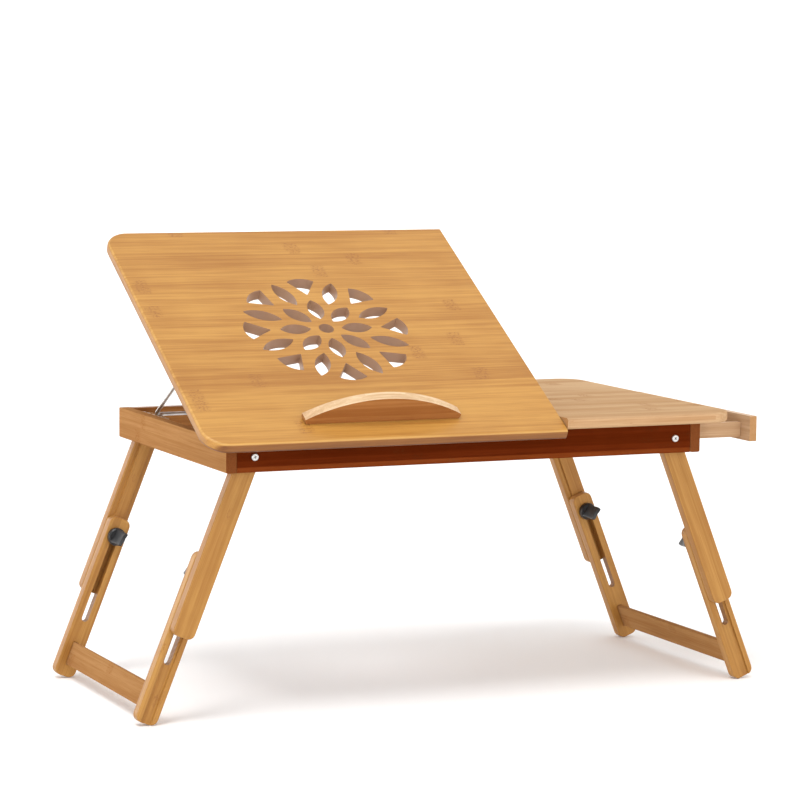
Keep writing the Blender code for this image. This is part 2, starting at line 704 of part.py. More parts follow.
def clip_outline():
    """A saddle clip's section: two flanges and a hump over the wire."""
    inner = PROP_WIRE_RADIUS + GAP
    outer = inner + CLIP_THICKNESS
    flat = TOP_UNDERSIDE - GAP
    seat = TOP_UNDERSIDE - GAP - CLIP_THICKNESS
    drop = PROP_PIVOT_Z - seat
    outer_start = math.asin(max(-1.0, min(1.0, -drop / outer)))
    points = [(PROP_PIVOT_Y + CLIP_FLANGE_REACH, flat), (PROP_PIVOT_Y + inner, flat)]
    for step in range(CLIP_STEPS + 1):
        angle = -math.pi * step / CLIP_STEPS
        points.append((PROP_PIVOT_Y + inner * math.cos(angle), PROP_PIVOT_Z + inner * math.sin(angle)))
    points += [(PROP_PIVOT_Y - inner, flat), (PROP_PIVOT_Y - CLIP_FLANGE_REACH, flat)]
    points.append((PROP_PIVOT_Y - CLIP_FLANGE_REACH, seat))
    for step in range(CLIP_STEPS + 1):
        angle = -math.pi - outer_start + (math.pi + 2 * outer_start) * step / CLIP_STEPS
        points.append((PROP_PIVOT_Y + outer * math.cos(angle), PROP_PIVOT_Z + outer * math.sin(angle)))
    points.append((PROP_PIVOT_Y + CLIP_FLANGE_REACH, seat))
    return without_doubles([Vector(point) for point in points])


def build_clips(tilt):
    """Saddle clips that hold the wire prop under the top."""
    half = CLIP_WIDTH / 2
    for end in SIDES:
        x = clip_place(end)
        piece("prop_clip_" + end, [slab(clip_outline(), "X", x - half, x + half)], tilt, STEEL)


def bend_points(before, corner, after):
    """Points of a wire's bend round a corner."""
    come = (before - corner).normalized()
    leave = (after - corner).normalized()
    centre = corner + (come + leave) * PROP_BEND_RADIUS
    points = []
    for step in range(PROP_BEND_STEPS + 1):
        angle = math.pi / 2 * step / PROP_BEND_STEPS
        arm = -leave * math.cos(angle) - come * math.sin(angle)
        points.append(centre + arm * PROP_BEND_RADIUS)
    return points


def build_prop(prop):
    """The wire prop: one steel wire bent to a bail with its ends turned in."""
    bar_y = PROP_PIVOT_Y + PROP_ARM
    corners = [
        (PROP_LEFT + PROP_STUB, PROP_PIVOT_Y),
        (PROP_LEFT, PROP_PIVOT_Y),
        (PROP_LEFT, bar_y),
        (PROP_RIGHT, bar_y),
        (PROP_RIGHT, PROP_PIVOT_Y),
        (PROP_RIGHT - PROP_STUB, PROP_PIVOT_Y),
    ]
    route = [Vector((x, y, PROP_PIVOT_Z)) for x, y in corners]
    points = [route[0]]
    for before, corner, after in zip(route, route[1:], route[2:]):
        points += bend_points(before, corner, after)
    points.append(route[-1])
    curve = bpy.data.curves.new("prop_bail", "CURVE")
    curve.dimensions = "3D"
    curve.bevel_depth = PROP_WIRE_RADIUS
    curve.bevel_resolution = 3
    curve.use_fill_caps = True
    spline = curve.splines.new("POLY")
    spline.points.add(len(points) - 1)
    for target, point in zip(spline.points, points):
        target.co = (*point, 1.0)
    curve.materials.append(finish("prop_bail_finish", STEEL))
    bail = bpy.data.objects.new("prop_bail", curve)
    bpy.context.scene.collection.objects.link(bail)
    bail.parent = prop.empty
    bail.location = -prop.at


def bar_place(tilt_angle):
    """The Y of the prop's bar when the top stands at an angle."""
    drop = HINGE_Z - PROP_PIVOT_Z
    return HINGE_Y + 2 * PROP_ARM * math.cos(tilt_angle) + drop * math.sin(tilt_angle)


def build_racks(stand):
    """Notched racks on the left end rail and on the divider."""
    floor = RACK_SHELF_TOP - RACK_SHELF_THICKNESS
    walls = {"left": RAIL_THICKNESS + GAP, "right": DIVIDER_LEFT - GAP}
    for side in SIDES:
        inward = 1 if side == "left" else -1
        wall = walls[side]
        fence = wall + inward * RACK_FENCE_WIDTH
        edge = wall + inward * RACK_WIDTH
        outline = [
            (wall, floor),
            (edge, floor),
            (edge, RACK_SHELF_TOP),
            (fence, RACK_SHELF_TOP),
            (fence, RACK_FENCE_HEIGHT),
            (wall, RACK_FENCE_HEIGHT),
        ]
        rack = piece("prop_rack_" + side, [slab(outline, "Y", RACK_FRONT, RACK_BACK)], stand, BAMBOO_PALE)
        ends = sorted((wall - inward * OVERRUN, edge + inward * OVERRUN))
        shape_by(rack, [slab(notch_outline(angle), "X", *ends) for angle in RACK_TILTS], stand)


def notch_outline(tilt_angle):
    """A slanted notch under the bar's place at one tilt, open upwards."""
    middle = Vector((bar_place(tilt_angle), RACK_SHELF_TOP))
    lean = Vector((-math.sin(NOTCH_SLANT), math.cos(NOTCH_SLANT)))
    side = Vector((lean.y, -lean.x)) * (NOTCH_WIDTH / 2)
    top = middle + lean * (RACK_FENCE_HEIGHT - RACK_SHELF_TOP + OVERRUN)
    bottom = middle - lean * (NOTCH_DEPTH - NOTCH_WIDTH / 2)
    points = [top - side, top + side]
    for step in range(CLIP_STEPS + 1):
        angle = math.pi * step / CLIP_STEPS
        points.append(bottom + side * math.cos(angle) - lean * (math.sin(angle) * NOTCH_WIDTH / 2))
    return without_doubles(points)


def build_runners(stand):
    """L-shaped runners under the fixed top, which carry the drawer's sides."""
    ledge_top = DRAWER_SIDE_BASE - GAP
    ledge_base = ledge_top - RUNNER_LEDGE_THICKNESS
    inner = DRAWER_SIDE_FRONT - GAP
    end = FRAME_LENGTH - RAIL_THICKNESS - GAP
    for row in ROWS:
        corners = [
            (inner - RUNNER_WALL, ledge_base, RUNNER_CHAMFER),
            (inner + RUNNER_LEDGE_REACH, ledge_base, RUNNER_CHAMFER),
            (inner + RUNNER_LEDGE_REACH, ledge_top, 0.0),
            (inner, ledge_top, 0.0),
            (inner, FRAME_HEIGHT, 0.0),
            (inner - RUNNER_WALL, FRAME_HEIGHT, 0.0),
        ]
        outline = [Vector((from_rail(row, point[0]), point[1])) for point in rounded_polygon(corners)]
        runner = slab(outline, "X", SPLIT_X + RUNNER_FROM_SPLIT, end)
        piece("drawer_runner_" + row, [runner], stand, BAMBOO_LIGHT)


def build_drawer(drawer):
    """The drawer: front, two grooved sides, back and a thin bottom."""
    build_drawer_front(drawer)
    low = DRAWER_SIDE_FRONT
    inner = DRAWER_SIDE_FRONT + DRAWER_SIDE_THICKNESS
    groove = inner - DRAWER_GROOVE_DEPTH
    for row in ROWS:
        corners = [
            (low, DRAWER_SIDE_BASE, DRAWER_EDGE_ROUND),
            (inner, DRAWER_SIDE_BASE, DRAWER_EDGE_ROUND / 2),
            (inner, DRAWER_BOTTOM_BASE - GAP, 0.0),
            (groove, DRAWER_BOTTOM_BASE - GAP, 0.0),
            (groove, DRAWER_BOTTOM_TOP + GAP, 0.0),
            (inner, DRAWER_BOTTOM_TOP + GAP, 0.0),
            (inner, DRAWER_SIDE_TOP, DRAWER_EDGE_ROUND),
            (low, DRAWER_SIDE_TOP, DRAWER_EDGE_ROUND),
        ]
        outline = [Vector((from_rail(row, point[0]), point[1])) for point in rounded_polygon(corners)]
        side = slab(outline, "X", DRAWER_BACK_END, FRAME_LENGTH)
        piece("drawer_side_" + row, [side], drawer, BAMBOO_PALE)
    back = rounded_polygon([
        (DRAWER_BACK_END, DRAWER_BOTTOM_TOP + GAP, 0.0),
        (DRAWER_BACK_END + DRAWER_SIDE_THICKNESS, DRAWER_BOTTOM_TOP + GAP, 0.0),
        (DRAWER_BACK_END + DRAWER_SIDE_THICKNESS, DRAWER_SIDE_TOP, DRAWER_EDGE_ROUND),
        (DRAWER_BACK_END, DRAWER_SIDE_TOP, DRAWER_EDGE_ROUND),
    ])
    wall = slab(back, "Y", inner + GAP, FRAME_DEPTH - inner - GAP)
    piece("drawer_back", [wall], drawer, BAMBOO_PALE)
    bottom = block(
        (DRAWER_BACK_END, groove + GAP, DRAWER_BOTTOM_BASE),
        (FRAME_LENGTH, FRAME_DEPTH - groove - GAP, DRAWER_BOTTOM_TOP),
    )
    piece("drawer_bottom", [bottom], drawer, BAMBOO_PALE)


def build_drawer_front(drawer):
    """The drawer's front board, wider than the box and with rounded outer edges."""
    top = TOP_UNDERSIDE - GAP - DRAWER_FRONT_DROP
    front = DRAWER_SIDE_FRONT - DRAWER_FRONT_OVERLAP
    outline = rectangle(front, FRAME_DEPTH - front, top - DRAWER_FRONT_HEIGHT, top, DRAWER_EDGE_ROUND)
    outer = DRAWER_FRONT_FACE + DRAWER_FRONT_THICKNESS
    board = slab(outline, "X", DRAWER_FRONT_FACE, outer)

    def on_inner_face(edge):
        return any(vert.co.x < outer - GAP for vert in edge.verts)

    round_rims(board, "X", DRAWER_FRONT_ROUND, 3, keep=on_inner_face)
    piece("drawer_front", [board], drawer, BAMBOO_LIGHT)


def build_upper_leg(name, side, row, fold):
    """An upper leg: round head, square foot end and a tongue for the lower leg's groove."""
    x = from_end(side, PIVOT_INSET)
    half = LEG_WIDTH / 2
    foot = PIVOT_HEIGHT - UPPER_LEG_END
    head = PIVOT_HEIGHT + half
    outline = rounded_polygon([
        (x - half, foot, UPPER_LEG_END_ROUND),
        (x + half, foot, UPPER_LEG_END_ROUND),
        (x + half, head, half),
        (x - half, head, half),
    ])
    ends = sorted((from_rail(row, UPPER_LEG_OUTER), from_rail(row, UPPER_LEG_INNER)))
    plank = round_rims(slab(outline, "Y", *ends), "Y", LEG_RIM_ROUND, 2)
    leg = piece(name, [plank], fold, BAMBOO_LIGHT)
    strip = rectangle(
        x - TONGUE_WIDTH / 2,
        x + TONGUE_WIDTH / 2,
        foot + TONGUE_END_MARGIN,
        PIVOT_HEIGHT - TONGUE_START,
    )
    reach = UPPER_LEG_INNER + TONGUE_HEIGHT
    span = sorted((from_rail(row, UPPER_LEG_INNER - OVERRUN), from_rail(row, reach)))
    shape_by(leg, [slab(strip, "Y", *span)], fold, "UNION")
    shape_by(leg, [bolt_hole(side, row), insert_room(side, row)], fold)


def insert_profile(room):
    """A flanged insert nut from its flange, at the tongue's face, into the leg."""
    depth = UPPER_LEG_INNER + TONGUE_HEIGHT
    return [
        (INSERT_FLANGE_RADIUS + room, depth),
        (INSERT_FLANGE_RADIUS + room, depth - INSERT_FLANGE_HEIGHT - room),
        (INSERT_RADIUS + room, depth - INSERT_FLANGE_HEIGHT - room),
        (INSERT_RADIUS + room, depth - INSERT_LENGTH - room),
    ]


def along_depth(profile, row):
    """A profile whose heights run inwards from the front or the back face of the tray."""
    return [(radius, from_rail(row, distance)) for radius, distance in profile]


def insert_room(side, row):
    """The stepped hole that the insert nut is pressed into."""
    profile = insert_profile(GAP)
    mouth = profile[0][1] + OVERRUN
    outline = [(0.0, mouth), (profile[0][0], mouth)] + profile[1:] + [(0.0, profile[-1][1])]
    return turned(along_depth(outline, row), "Y", knob_axis(side))


def knob_axis(side):
    """A point on the locking knobs' axis, at the tray's front face."""
    return (from_end(side, PIVOT_INSET), 0.0, PIVOT_HEIGHT - KNOB_DISTANCE)


def build_insert_nut(side, row, fold):
    """The insert nut of one upper leg, bored for the stud."""
    outer = insert_profile(0.0)
    bore = STUD_RADIUS + GAP
    ring = [(bore, outer[0][1])] + outer + [(bore, outer[-1][1]), (bore, outer[0][1])]
    nut = turned(along_depth(ring, row), "Y", knob_axis(side))
    piece("insert_nut_" + side + "_" + row, [nut], fold, BRASS, smooth=True)


def build_lower_leg(name, side, row, slide):
    """A lower leg: rounded ends, a full-length groove, the knob's slot and the bar's housing."""
    x = from_end(side, PIVOT_INSET)
    half = LEG_WIDTH / 2
    top = PIVOT_HEIGHT - LOWER_LEG_START
    outline = rectangle(x - half, x + half, top - LOWER_LEG_LENGTH, top, LOWER_LEG_ROUND)
    ends = sorted((from_rail(row, LOWER_LEG_OUTER), from_rail(row, LOWER_LEG_INNER)))
    plank = round_rims(slab(outline, "Y", *ends), "Y", LEG_RIM_ROUND, 2)
    leg = piece(name, [plank], slide, BAMBOO_LIGHT)
    groove = rectangle(
        x - GROOVE_WIDTH / 2,
        x + GROOVE_WIDTH / 2,
        top - LOWER_LEG_LENGTH - OVERRUN,
        top + OVERRUN,
    )
    floor = LOWER_LEG_OUTER + GROOVE_DEPTH
    span = sorted((from_rail(row, LOWER_LEG_OUTER - OVERRUN), from_rail(row, floor)))
    shape_by(leg, [slab(groove, "Y", *span)], slide)
    slot = rectangle(x - SLOT_WIDTH / 2, x + SLOT_WIDTH / 2, top - SLOT_END, top - SLOT_START, SLOT_WIDTH / 2)
    through = sorted((from_rail(row, LOWER_LEG_OUTER - OVERRUN), from_rail(row, LOWER_LEG_INNER + OVERRUN)))
    housing = crossbar_outline(side, GAP)
    seat = LOWER_LEG_INNER - CROSSBAR_HOUSING - GAP
    depth = sorted((from_rail(row, seat), from_rail(row, LOWER_LEG_INNER + OVERRUN)))
    cuts = shape_by(leg, [slab(slot, "Y", *through), slab(housing, "Y", *depth)], slide)
    cuts.modifiers[-1].object.name = name + "_slot"


def crossbar_outline(side, room):
    """The crossbar's section, widened by some room for its housings."""
    x = from_end(side, PIVOT_INSET)
    half = CROSSBAR_THICKNESS / 2 + room
    high = PIVOT_HEIGHT - LOWER_LEG_START - CROSSBAR_START + room
    return rectangle(x - half, x + half, high - CROSSBAR_HEIGHT - 2 * room, high, CROSSBAR_ROUND + room)


def build_crossbar(side, slide):
    """The slat housed in the lower legs of one pair."""
    end = LOWER_LEG_INNER - CROSSBAR_HOUSING
    bar = slab(crossbar_outline(side, 0.0), "Y", end, FRAME_DEPTH - end)
    piece("crossbar_" + side, [bar], slide, BAMBOO_PALE)


def build_bolts(stand):
    """Pan-head bolts through rails and upper legs, and the nuts on their ends."""
    nut_face = UPPER_LEG_INNER + GAP
    tip = nut_face + NUT_HEIGHT + BOLT_TAIL
    for side in SIDES:
        for row in ROWS:
            centre = (from_end(side, PIVOT_INSET), 0.0, PIVOT_HEIGHT)
            shank = [
                (0.0, -GAP - BOLT_HEAD_HEIGHT),
                (BOLT_HEAD_RADIUS - BOLT_HEAD_DOME, -GAP - BOLT_HEAD_HEIGHT),
                (BOLT_HEAD_RADIUS, -GAP - BOLT_HEAD_HEIGHT + BOLT_HEAD_DOME),
                (BOLT_HEAD_RADIUS, -GAP),
                (BOLT_RADIUS, -GAP),
                (BOLT_RADIUS, tip),
                (0.0, tip),
            ]
            bolt = turned(along_depth(shank, row), "Y", centre)
            piece("leg_pivot_bolt_" + side + "_" + row, [bolt], stand, STEEL, smooth=True)
            bore = BOLT_RADIUS + GAP
            ring = [
                (bore, nut_face),
                (NUT_RADIUS, nut_face),
                (NUT_RADIUS, nut_face + NUT_HEIGHT),
                (bore, nut_face + NUT_HEIGHT),
                (bore, nut_face),
            ]
            nut = turned(along_depth(ring, row), "Y", centre, NUT_SIDES)
            piece("leg_pivot_nut_" + side + "_" + row, [nut], stand, STEEL)


def build_knob(side, row, knob):
    """A locking knob, a turned base with a slim wing, and the stud held in its bore."""
    axis = knob_axis(side)
    face = KNOB_FOOT + KNOB_BASE_HEIGHT
    bore_end = KNOB_FOOT + STUD_IN_KNOB
    base = [
        (0.0, bore_end),
        (STUD_RADIUS + GAP, bore_end),
        (STUD_RADIUS + GAP, KNOB_FOOT),
        (KNOB_BASE_RADIUS, KNOB_FOOT),
        (KNOB_BASE_RADIUS, face - KNOB_BASE_ROUND),
        (KNOB_BASE_RADIUS - KNOB_BASE_ROUND, face),
        (0.0, face),
    ]
    body = turned(along_depth(base, row), "Y", axis)
    made = piece("knob_" + side + "_" + row, [body], knob, BLACK_PLASTIC, smooth=True)
    shape_by(made, [knob_wing(axis, side, row)], knob, "UNION")
    tip = UPPER_LEG_INNER + TONGUE_HEIGHT - INSERT_LENGTH + STUD_TIP_MARGIN
    stud = [(0.0, tip), (STUD_RADIUS, tip), (STUD_RADIUS, bore_end - GAP), (0.0, bore_end - GAP)]
    rod = turned(along_depth(stud, row), "Y", axis)
    piece("knob_stud_" + side + "_" + row, [rod], knob, STEEL, smooth=True)


def wing_stations(reach, half, height, drop, dip):
    """A level of the wing from end to end, as place along it, half thickness and height."""
    inner = reach - KNOB_EAR_ROUND
    return [
        (-reach, half - KNOB_EAR_ROUND / 2, height - drop),
        (-inner, half, height),
        (-inner / 2, half, height - dip * 3 / 4),
        (0.0, half, height - dip),
        (inner / 2, half, height - dip * 3 / 4),
        (inner, half, height),
        (reach, half - KNOB_EAR_ROUND / 2, height - drop),
    ]


def knob_wing(axis, side, row):
    """The knob's wing, drawn in from a wide foot to a thin blade whose tip dips between its ears."""
    levels = [
        (KNOB_BASE_RADIUS - KNOB_WING_INSET, KNOB_WING_FOOT_HALF, KNOB_BASE_HEIGHT - KNOB_WING_SINK, 0.0, 0.0),
        (KNOB_SHOULDER_REACH, KNOB_SHOULDER_HALF, KNOB_SHOULDER_HEIGHT, 0.0, 0.0),
        (KNOB_BLADE_REACH, KNOB_BLADE_HALF, KNOB_BLADE_HEIGHT, 0.0, 0.0),
        (KNOB_TIP_REACH, KNOB_TIP_HALF, KNOB_HEIGHT, KNOB_EAR_ROUND, KNOB_TIP_DIP),
    ]
    wing = bmesh.new()
    rows = []
    for level in levels:
        for sign in (1, -1):
            spots = [
                (sign * half, from_rail(row, KNOB_FOOT + height), place)
                for place, half, height in wing_stations(*level)
            ]
            rows.append([wing.verts.new(spot) for spot in spots])
    for lower, upper in zip(rows[:-2], rows[2:]):
        bridge(wing, lower, upper)
    for near, far in zip(rows[0::2], rows[1::2]):
        if near is rows[0] or near is rows[-2]:
            bridge(wing, near, far)
    for end in (0, -1):
        for level in range(0, len(rows) - 2, 2):
            corners = [rows[level], rows[level + 1], rows[level + 3], rows[level + 2]]
            wing.faces.new([line[end] for line in corners])
    bmesh.ops.recalc_face_normals(wing, faces=wing.faces)
    splay = LEG_SPLAY if side == "left" else -LEG_SPLAY
    lean = Matrix.Rotation(KNOB_WING_LEAN - splay, 3, "Y")
    bmesh.ops.rotate(wing, verts=wing.verts, cent=(0, 0, 0), matrix=lean)
    bmesh.ops.translate(wing, verts=wing.verts, vec=(axis[0], 0.0, axis[2]))
    return wing


def bridge(mesh, first, second):
    """Faces between two rows of as many points."""
    for i in range(len(first) - 1):
        mesh.faces.new((first[i], first[i + 1], second[i + 1], second[i]))


def build_leg_pair(side, stand):
    """One pair of telescopic legs with its joints: fold, slide and two knobs."""
    pivot = (from_end(side, PIVOT_INSET), 0.0, PIVOT_HEIGHT)
    splay = LEG_SPLAY if side == "left" else -LEG_SPLAY
    fold = Joint(side + "_leg_fold", pivot, stand, turn=(0.0, splay, 0.0))
    slide = Joint(side + "_leg_slide", pivot, fold)
    for row in ROWS:
        build_upper_leg("upper_leg_" + side + "_" + row, side, row, fold)
        build_lower_leg("lower_leg_" + side + "_" + row, side, row, slide)
        knob = Joint("knob_turn_" + side + "_" + row, knob_axis(side), fold)
        build_knob(side, row, knob)
        build_insert_nut(side, row, fold)
    build_crossbar(side, slide)


def clear_scene():
    """Removes whatever the scene holds."""
    for item in list(bpy.data.objects):
        bpy.data.objects.remove(item)


def main():
    """Builds the stand, carried by an empty at the tray's corner."""
    clear_scene()
    stand = Joint("tray_corner", (0.0, 0.0, 0.0))
    stand.empty.location = tray_corner()
    tilt = Joint("tilt_hinge", (0.0, HINGE_Y, HINGE_Z), stand, turn=(TILT_AT_REST, 0.0, 0.0))
    prop_turn = (-2 * TILT_AT_REST, 0.0, 0.0)
    prop = Joint("prop_hinge", (0.0, PROP_PIVOT_Y, PROP_PIVOT_Z), tilt, turn=prop_turn)
    drawer = Joint("drawer_slide", (FRAME_LENGTH, 0.0, 0.0), stand, shift=(DRAWER_PULL, 0.0, 0.0))
    build_long_rails(stand)
    build_end_rails(stand)
    build_divider(stand)
    build_fixed_top(stand)
    build_tilt_top(tilt)
    build_stopper(tilt)
    build_hinges(stand, tilt)
    build_clips(tilt)
    build_prop(prop)
    build_racks(stand)
    build_runners(stand)
    build_drawer(drawer)
    build_bolts(stand)
    for side in SIDES:
        build_leg_pair(side, stand)


main()
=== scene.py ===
"""Looks of the folding bamboo laptop stand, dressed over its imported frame.

Lengths are metres. Tray coordinates run X along the tray from its left end, Y from its front
face to the back and Z up from its lower edge. Board coordinates belong to the tilted top:
along its width, up its slope and out of its surface.
"""
from __future__ import annotations

import json
import logging
import math
from collections.abc import Callable, Iterator
from contextlib import contextmanager
from dataclasses import dataclass, field
from enum import Enum

import bpy
from mathutils import Euler, Matrix, Vector

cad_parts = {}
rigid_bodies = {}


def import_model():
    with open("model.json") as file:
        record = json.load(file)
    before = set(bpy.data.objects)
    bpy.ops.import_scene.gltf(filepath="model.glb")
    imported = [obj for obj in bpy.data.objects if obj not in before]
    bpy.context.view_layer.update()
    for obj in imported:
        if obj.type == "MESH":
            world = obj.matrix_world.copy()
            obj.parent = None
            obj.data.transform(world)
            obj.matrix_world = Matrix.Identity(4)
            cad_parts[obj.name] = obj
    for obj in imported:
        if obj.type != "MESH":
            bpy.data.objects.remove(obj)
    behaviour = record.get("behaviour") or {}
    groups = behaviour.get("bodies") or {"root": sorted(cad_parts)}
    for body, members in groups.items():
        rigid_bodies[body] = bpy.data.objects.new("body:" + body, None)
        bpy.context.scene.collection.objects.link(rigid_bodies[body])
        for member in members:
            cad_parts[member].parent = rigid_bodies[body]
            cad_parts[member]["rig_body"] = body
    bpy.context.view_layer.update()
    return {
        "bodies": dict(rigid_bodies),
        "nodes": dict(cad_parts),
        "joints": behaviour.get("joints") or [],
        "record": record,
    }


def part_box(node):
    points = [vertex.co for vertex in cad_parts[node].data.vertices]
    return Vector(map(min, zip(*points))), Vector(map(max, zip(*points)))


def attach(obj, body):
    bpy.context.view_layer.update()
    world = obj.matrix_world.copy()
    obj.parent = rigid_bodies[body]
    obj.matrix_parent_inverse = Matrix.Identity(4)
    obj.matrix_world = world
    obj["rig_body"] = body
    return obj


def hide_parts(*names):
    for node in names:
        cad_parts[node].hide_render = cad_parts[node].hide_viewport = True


log = logging.getLogger("laptop_stand")

MM = 0.001
GAP = 0.3 * MM

# How far the rounding of sharp edges reaches
BOARD_EASE = 0.35 * MM
STICK_EASE = 0.30 * MM
ROD_EASE = 0.20 * MM
LEAF_EASE = 0.15 * MM
MERGE_DISTANCE = 0.01 * MM
NEAR = 0.03 * MM

TILT = math.radians(30.5)
LEG_SPLAY = math.radians(21.6)
SMOOTH_ANGLE = math.radians(35.0)
EDGE_ANGLE = math.radians(38.0)
FLAT_ANGLE = math.radians(1.0)
RIGHT_ANGLE = math.radians(90.0)

Colour = tuple[float, float, float]
SIDES = ("left", "right")
ROWS = ("front", "back")


class Slot(Enum):
    """The record's material slots."""

    TOP = "bamboo_top"
    FIXED_TOP = "bamboo_fixed_top"
    LEDGE = "bamboo_ledge"
    RAIL = "bamboo_rail"
    END_RAIL = "bamboo_end_rail"
    LEG = "bamboo_leg"
    DRAWER = "bamboo_drawer"
    STEEL = "steel"
    BRASS = "brass"
    PLASTIC = "black_plastic"


class Elements(Enum):
    """What an edit selects."""

    VERTICES = (True, False, False)
    EDGES = (False, True, False)
    FACES = (False, False, True)


class Head(Enum):
    """A screw head's form, as the share of its height that its rim's rounding takes."""

    PAN = 0.62
    COUNTERSUNK = 0.25


# Node graphs


@dataclass(frozen=True)
class Wire:
    """A value on its way through a material's nodes, with Python's own arithmetic."""

    graph: "Graph"
    socket: bpy.types.NodeSocket

    def maths(self, operation: str, *others: "float | Wire") -> "Wire":
        """The wire after one Math node.

        Args:
            operation: The Math node's operation.
            others: The node's other inputs.

        Returns:
            The node's result.
        """
        return self.graph.node("Math", {"operation": operation}, {
            index: value for index, value in enumerate((self, *others))
        })["Value"]

    def __add__(self, other: "float | Wire") -> "Wire":
        """This wire plus another value."""
        return self.maths("ADD", other)

    __radd__ = __add__

    def __sub__(self, other: "float | Wire") -> "Wire":
        """This wire less another value."""
        return self.maths("SUBTRACT", other)

    def __mul__(self, other: "float | Wire") -> "Wire":
        """This wire times another value."""
        return self.maths("MULTIPLY", other)

    def __truediv__(self, other: "float | Wire") -> "Wire":
        """This wire divided by another value."""
        return self.maths("DIVIDE", other)

    def __pow__(self, other: float) -> "Wire":
        """This wire to a power."""
        return self.maths("POWER", other)

    def __abs__(self) -> "Wire":
        """This wire without its sign."""
        return self.maths("ABSOLUTE")

    def floor(self) -> "Wire":
        """The whole number below this wire."""
        return self.maths("FLOOR")

    def larger(self, other: "float | Wire") -> "Wire":
        """The larger of this wire and another value."""
        return self.maths("MAXIMUM", other)

    def step(self, low: float, high: float) -> "Wire":
        """A smooth step of this wire, 0 at low and 1 at high, which may be the smaller."""
        return self.graph.node(
            "MapRange",
            {"interpolation_type": "SMOOTHSTEP"},
            {"Value": self, "From Min": low, "From Max": high},
        )["Result"]


class Graph:
    """A new material's nodes."""

    def __init__(self, name: str) -> None:
        """Starts a material with nothing but its Principled shader.

        Args:
            name: The material's name.
        """
        self.material = bpy.data.materials.new(name)
        self.material.use_nodes = True
        self.tree = self.material.node_tree
        self.shader = self.tree.nodes["Principled BSDF"]

    def node(
        self,
        kind: str,
        settings: dict[str, object] | None = None,
        inputs: dict[str | int, object] | None = None,
    ) -> dict[str, Wire]:
        """Adds one node.

        Args:
            kind: The node's type, without the word that all of them start with.
            settings: Its settings, among them a ramp's stops as (position, colour) pairs.
            inputs: Numbers, colours or wires for its sockets, by name or place.

        Returns:
            The node's enabled outputs by name.
        """
        made = self.tree.nodes.new("ShaderNode" + kind)
        for name, value in (settings or {}).items():
            if name == "stops":
                self.set_stops(made.color_ramp, value)
            elif name == "blend":
                made.color_ramp.interpolation = value
            else:
                setattr(made, name, value)
        for name, value in (inputs or {}).items():
            self.feed(made, name, value)
        return {out.name: Wire(self, out) for out in made.outputs if out.enabled}

    @staticmethod
    def set_stops(ramp: bpy.types.ColorRamp, stops: list[tuple[float, Colour]]) -> None:
        """Gives a ramp its stops.

        Args:
            ramp: The ramp, with Blender's two first stops.
            stops: Position and colour of each stop, in order.
        """
        while len(ramp.elements) < len(stops):
            ramp.elements.new(1.0)
        for element, (position, colour) in zip(ramp.elements, stops):
            element.position = position
            element.color = (*colour, 1.0)

    def feed(self, made: bpy.types.Node, name: str | int, value: object) -> None:
        """Links or sets one input.

        Args:
            made: The node.
            name: The socket's name among the enabled ones, or its place.
            value: A wire, a number or a colour.
        """
        if isinstance(name, int):
            socket = made.inputs[name]
        else:
            socket = next(s for s in made.inputs if s.enabled and s.name == name)
        if isinstance(value, Wire):
            self.tree.links.new(value.socket, socket)
        elif socket.type == "RGBA":
            socket.default_value = (*value, 1.0)
        else:
            socket.default_value = value

    def blend(self, share: "float | Wire", first: object, second: object, mode: str = "MIX") -> Wire:
        """Mixes two colours.

        Args:
            share: How much of the second colour shows.
            first: The colour below.
            second: The colour above.
            mode: The way of mixing.

        Returns:
            The mixed colour.
        """
        return self.node(
            "Mix",
            {"data_type": "RGBA", "blend_type": mode},
            {"Factor": share, "A": first, "B": second},
        )["Result"]

    def noise(self, place: Wire, scale: float, detail: float = 2.0, roughness: float = 0.5) -> Wire:
        """Noise about 0.5 over a place.

        Args:
            place: Where it is read.
            scale: Its cells in a metre.
            detail: Its finer layers.
            roughness: The strength of the finer layers.

        Returns:
            The noise value.
        """
        return self.node("TexNoise", None, {
            "Vector": place, "Scale": scale, "Detail": detail, "Roughness": roughness,
        })["Fac"]

    def drawn_out(
        self, place: Wire, along: float, across: float, detail: float, roughness: float = 0.5
    ) -> Wire:
        """Noise that is drawn out along X.

        Args:
            place: Where it is read.
            along: Its cells in a metre along X.
            across: Its cells in a metre the other two ways.
            detail: Its finer layers.
            roughness: The strength of the finer layers.

        Returns:
            The noise value.
        """
        drawn = self.node("VectorMath", {"operation": "MULTIPLY"}, {
            0: place, 1: (along, across, across),
        })["Vector"]
        return self.noise(drawn, 1.0, detail, roughness)

    def bump(self, height: Wire, strength: float, distance: float) -> Wire:
        """A normal bent by a height.

        Args:
            height: The height.
            strength: How much of the bend is kept.
            distance: How far out one unit of height stands.

        Returns:
            The bent normal.
        """
        return self.node("Bump", None, {
            "Height": height, "Strength": strength, "Distance": distance,
        })["Normal"]

    def surface(self, **values: object) -> bpy.types.Material:
        """Feeds the Principled shader.

        Args:
            values: Its inputs, with underscores for spaces.

        Returns:
            The finished material.
        """
        for name, value in values.items():
            self.feed(self.shader, name.replace("_", " "), value)
        return self.material


# Finishes

# Noise: cells in a metre along and across the grain, finer layers and their strength
FLOW = (6.0, 150.0, 3.0, 0.6)
STREAKS = (7.0, 420.0, 4.0, 0.62)
FIBRES = (34.0, 1900.0, 2.0, 0.7)
SPECKLES = (330.0, 620.0, 3.0, 0.7)
BOWING = (1.3, 0.0, 1.0)

# Noise that is alike all ways: cells in a metre and finer layers
CLOUDS = (14.0, 2.0)
WANDERING = (150.0, 3.0)
PORE_CELLS = 1400.0

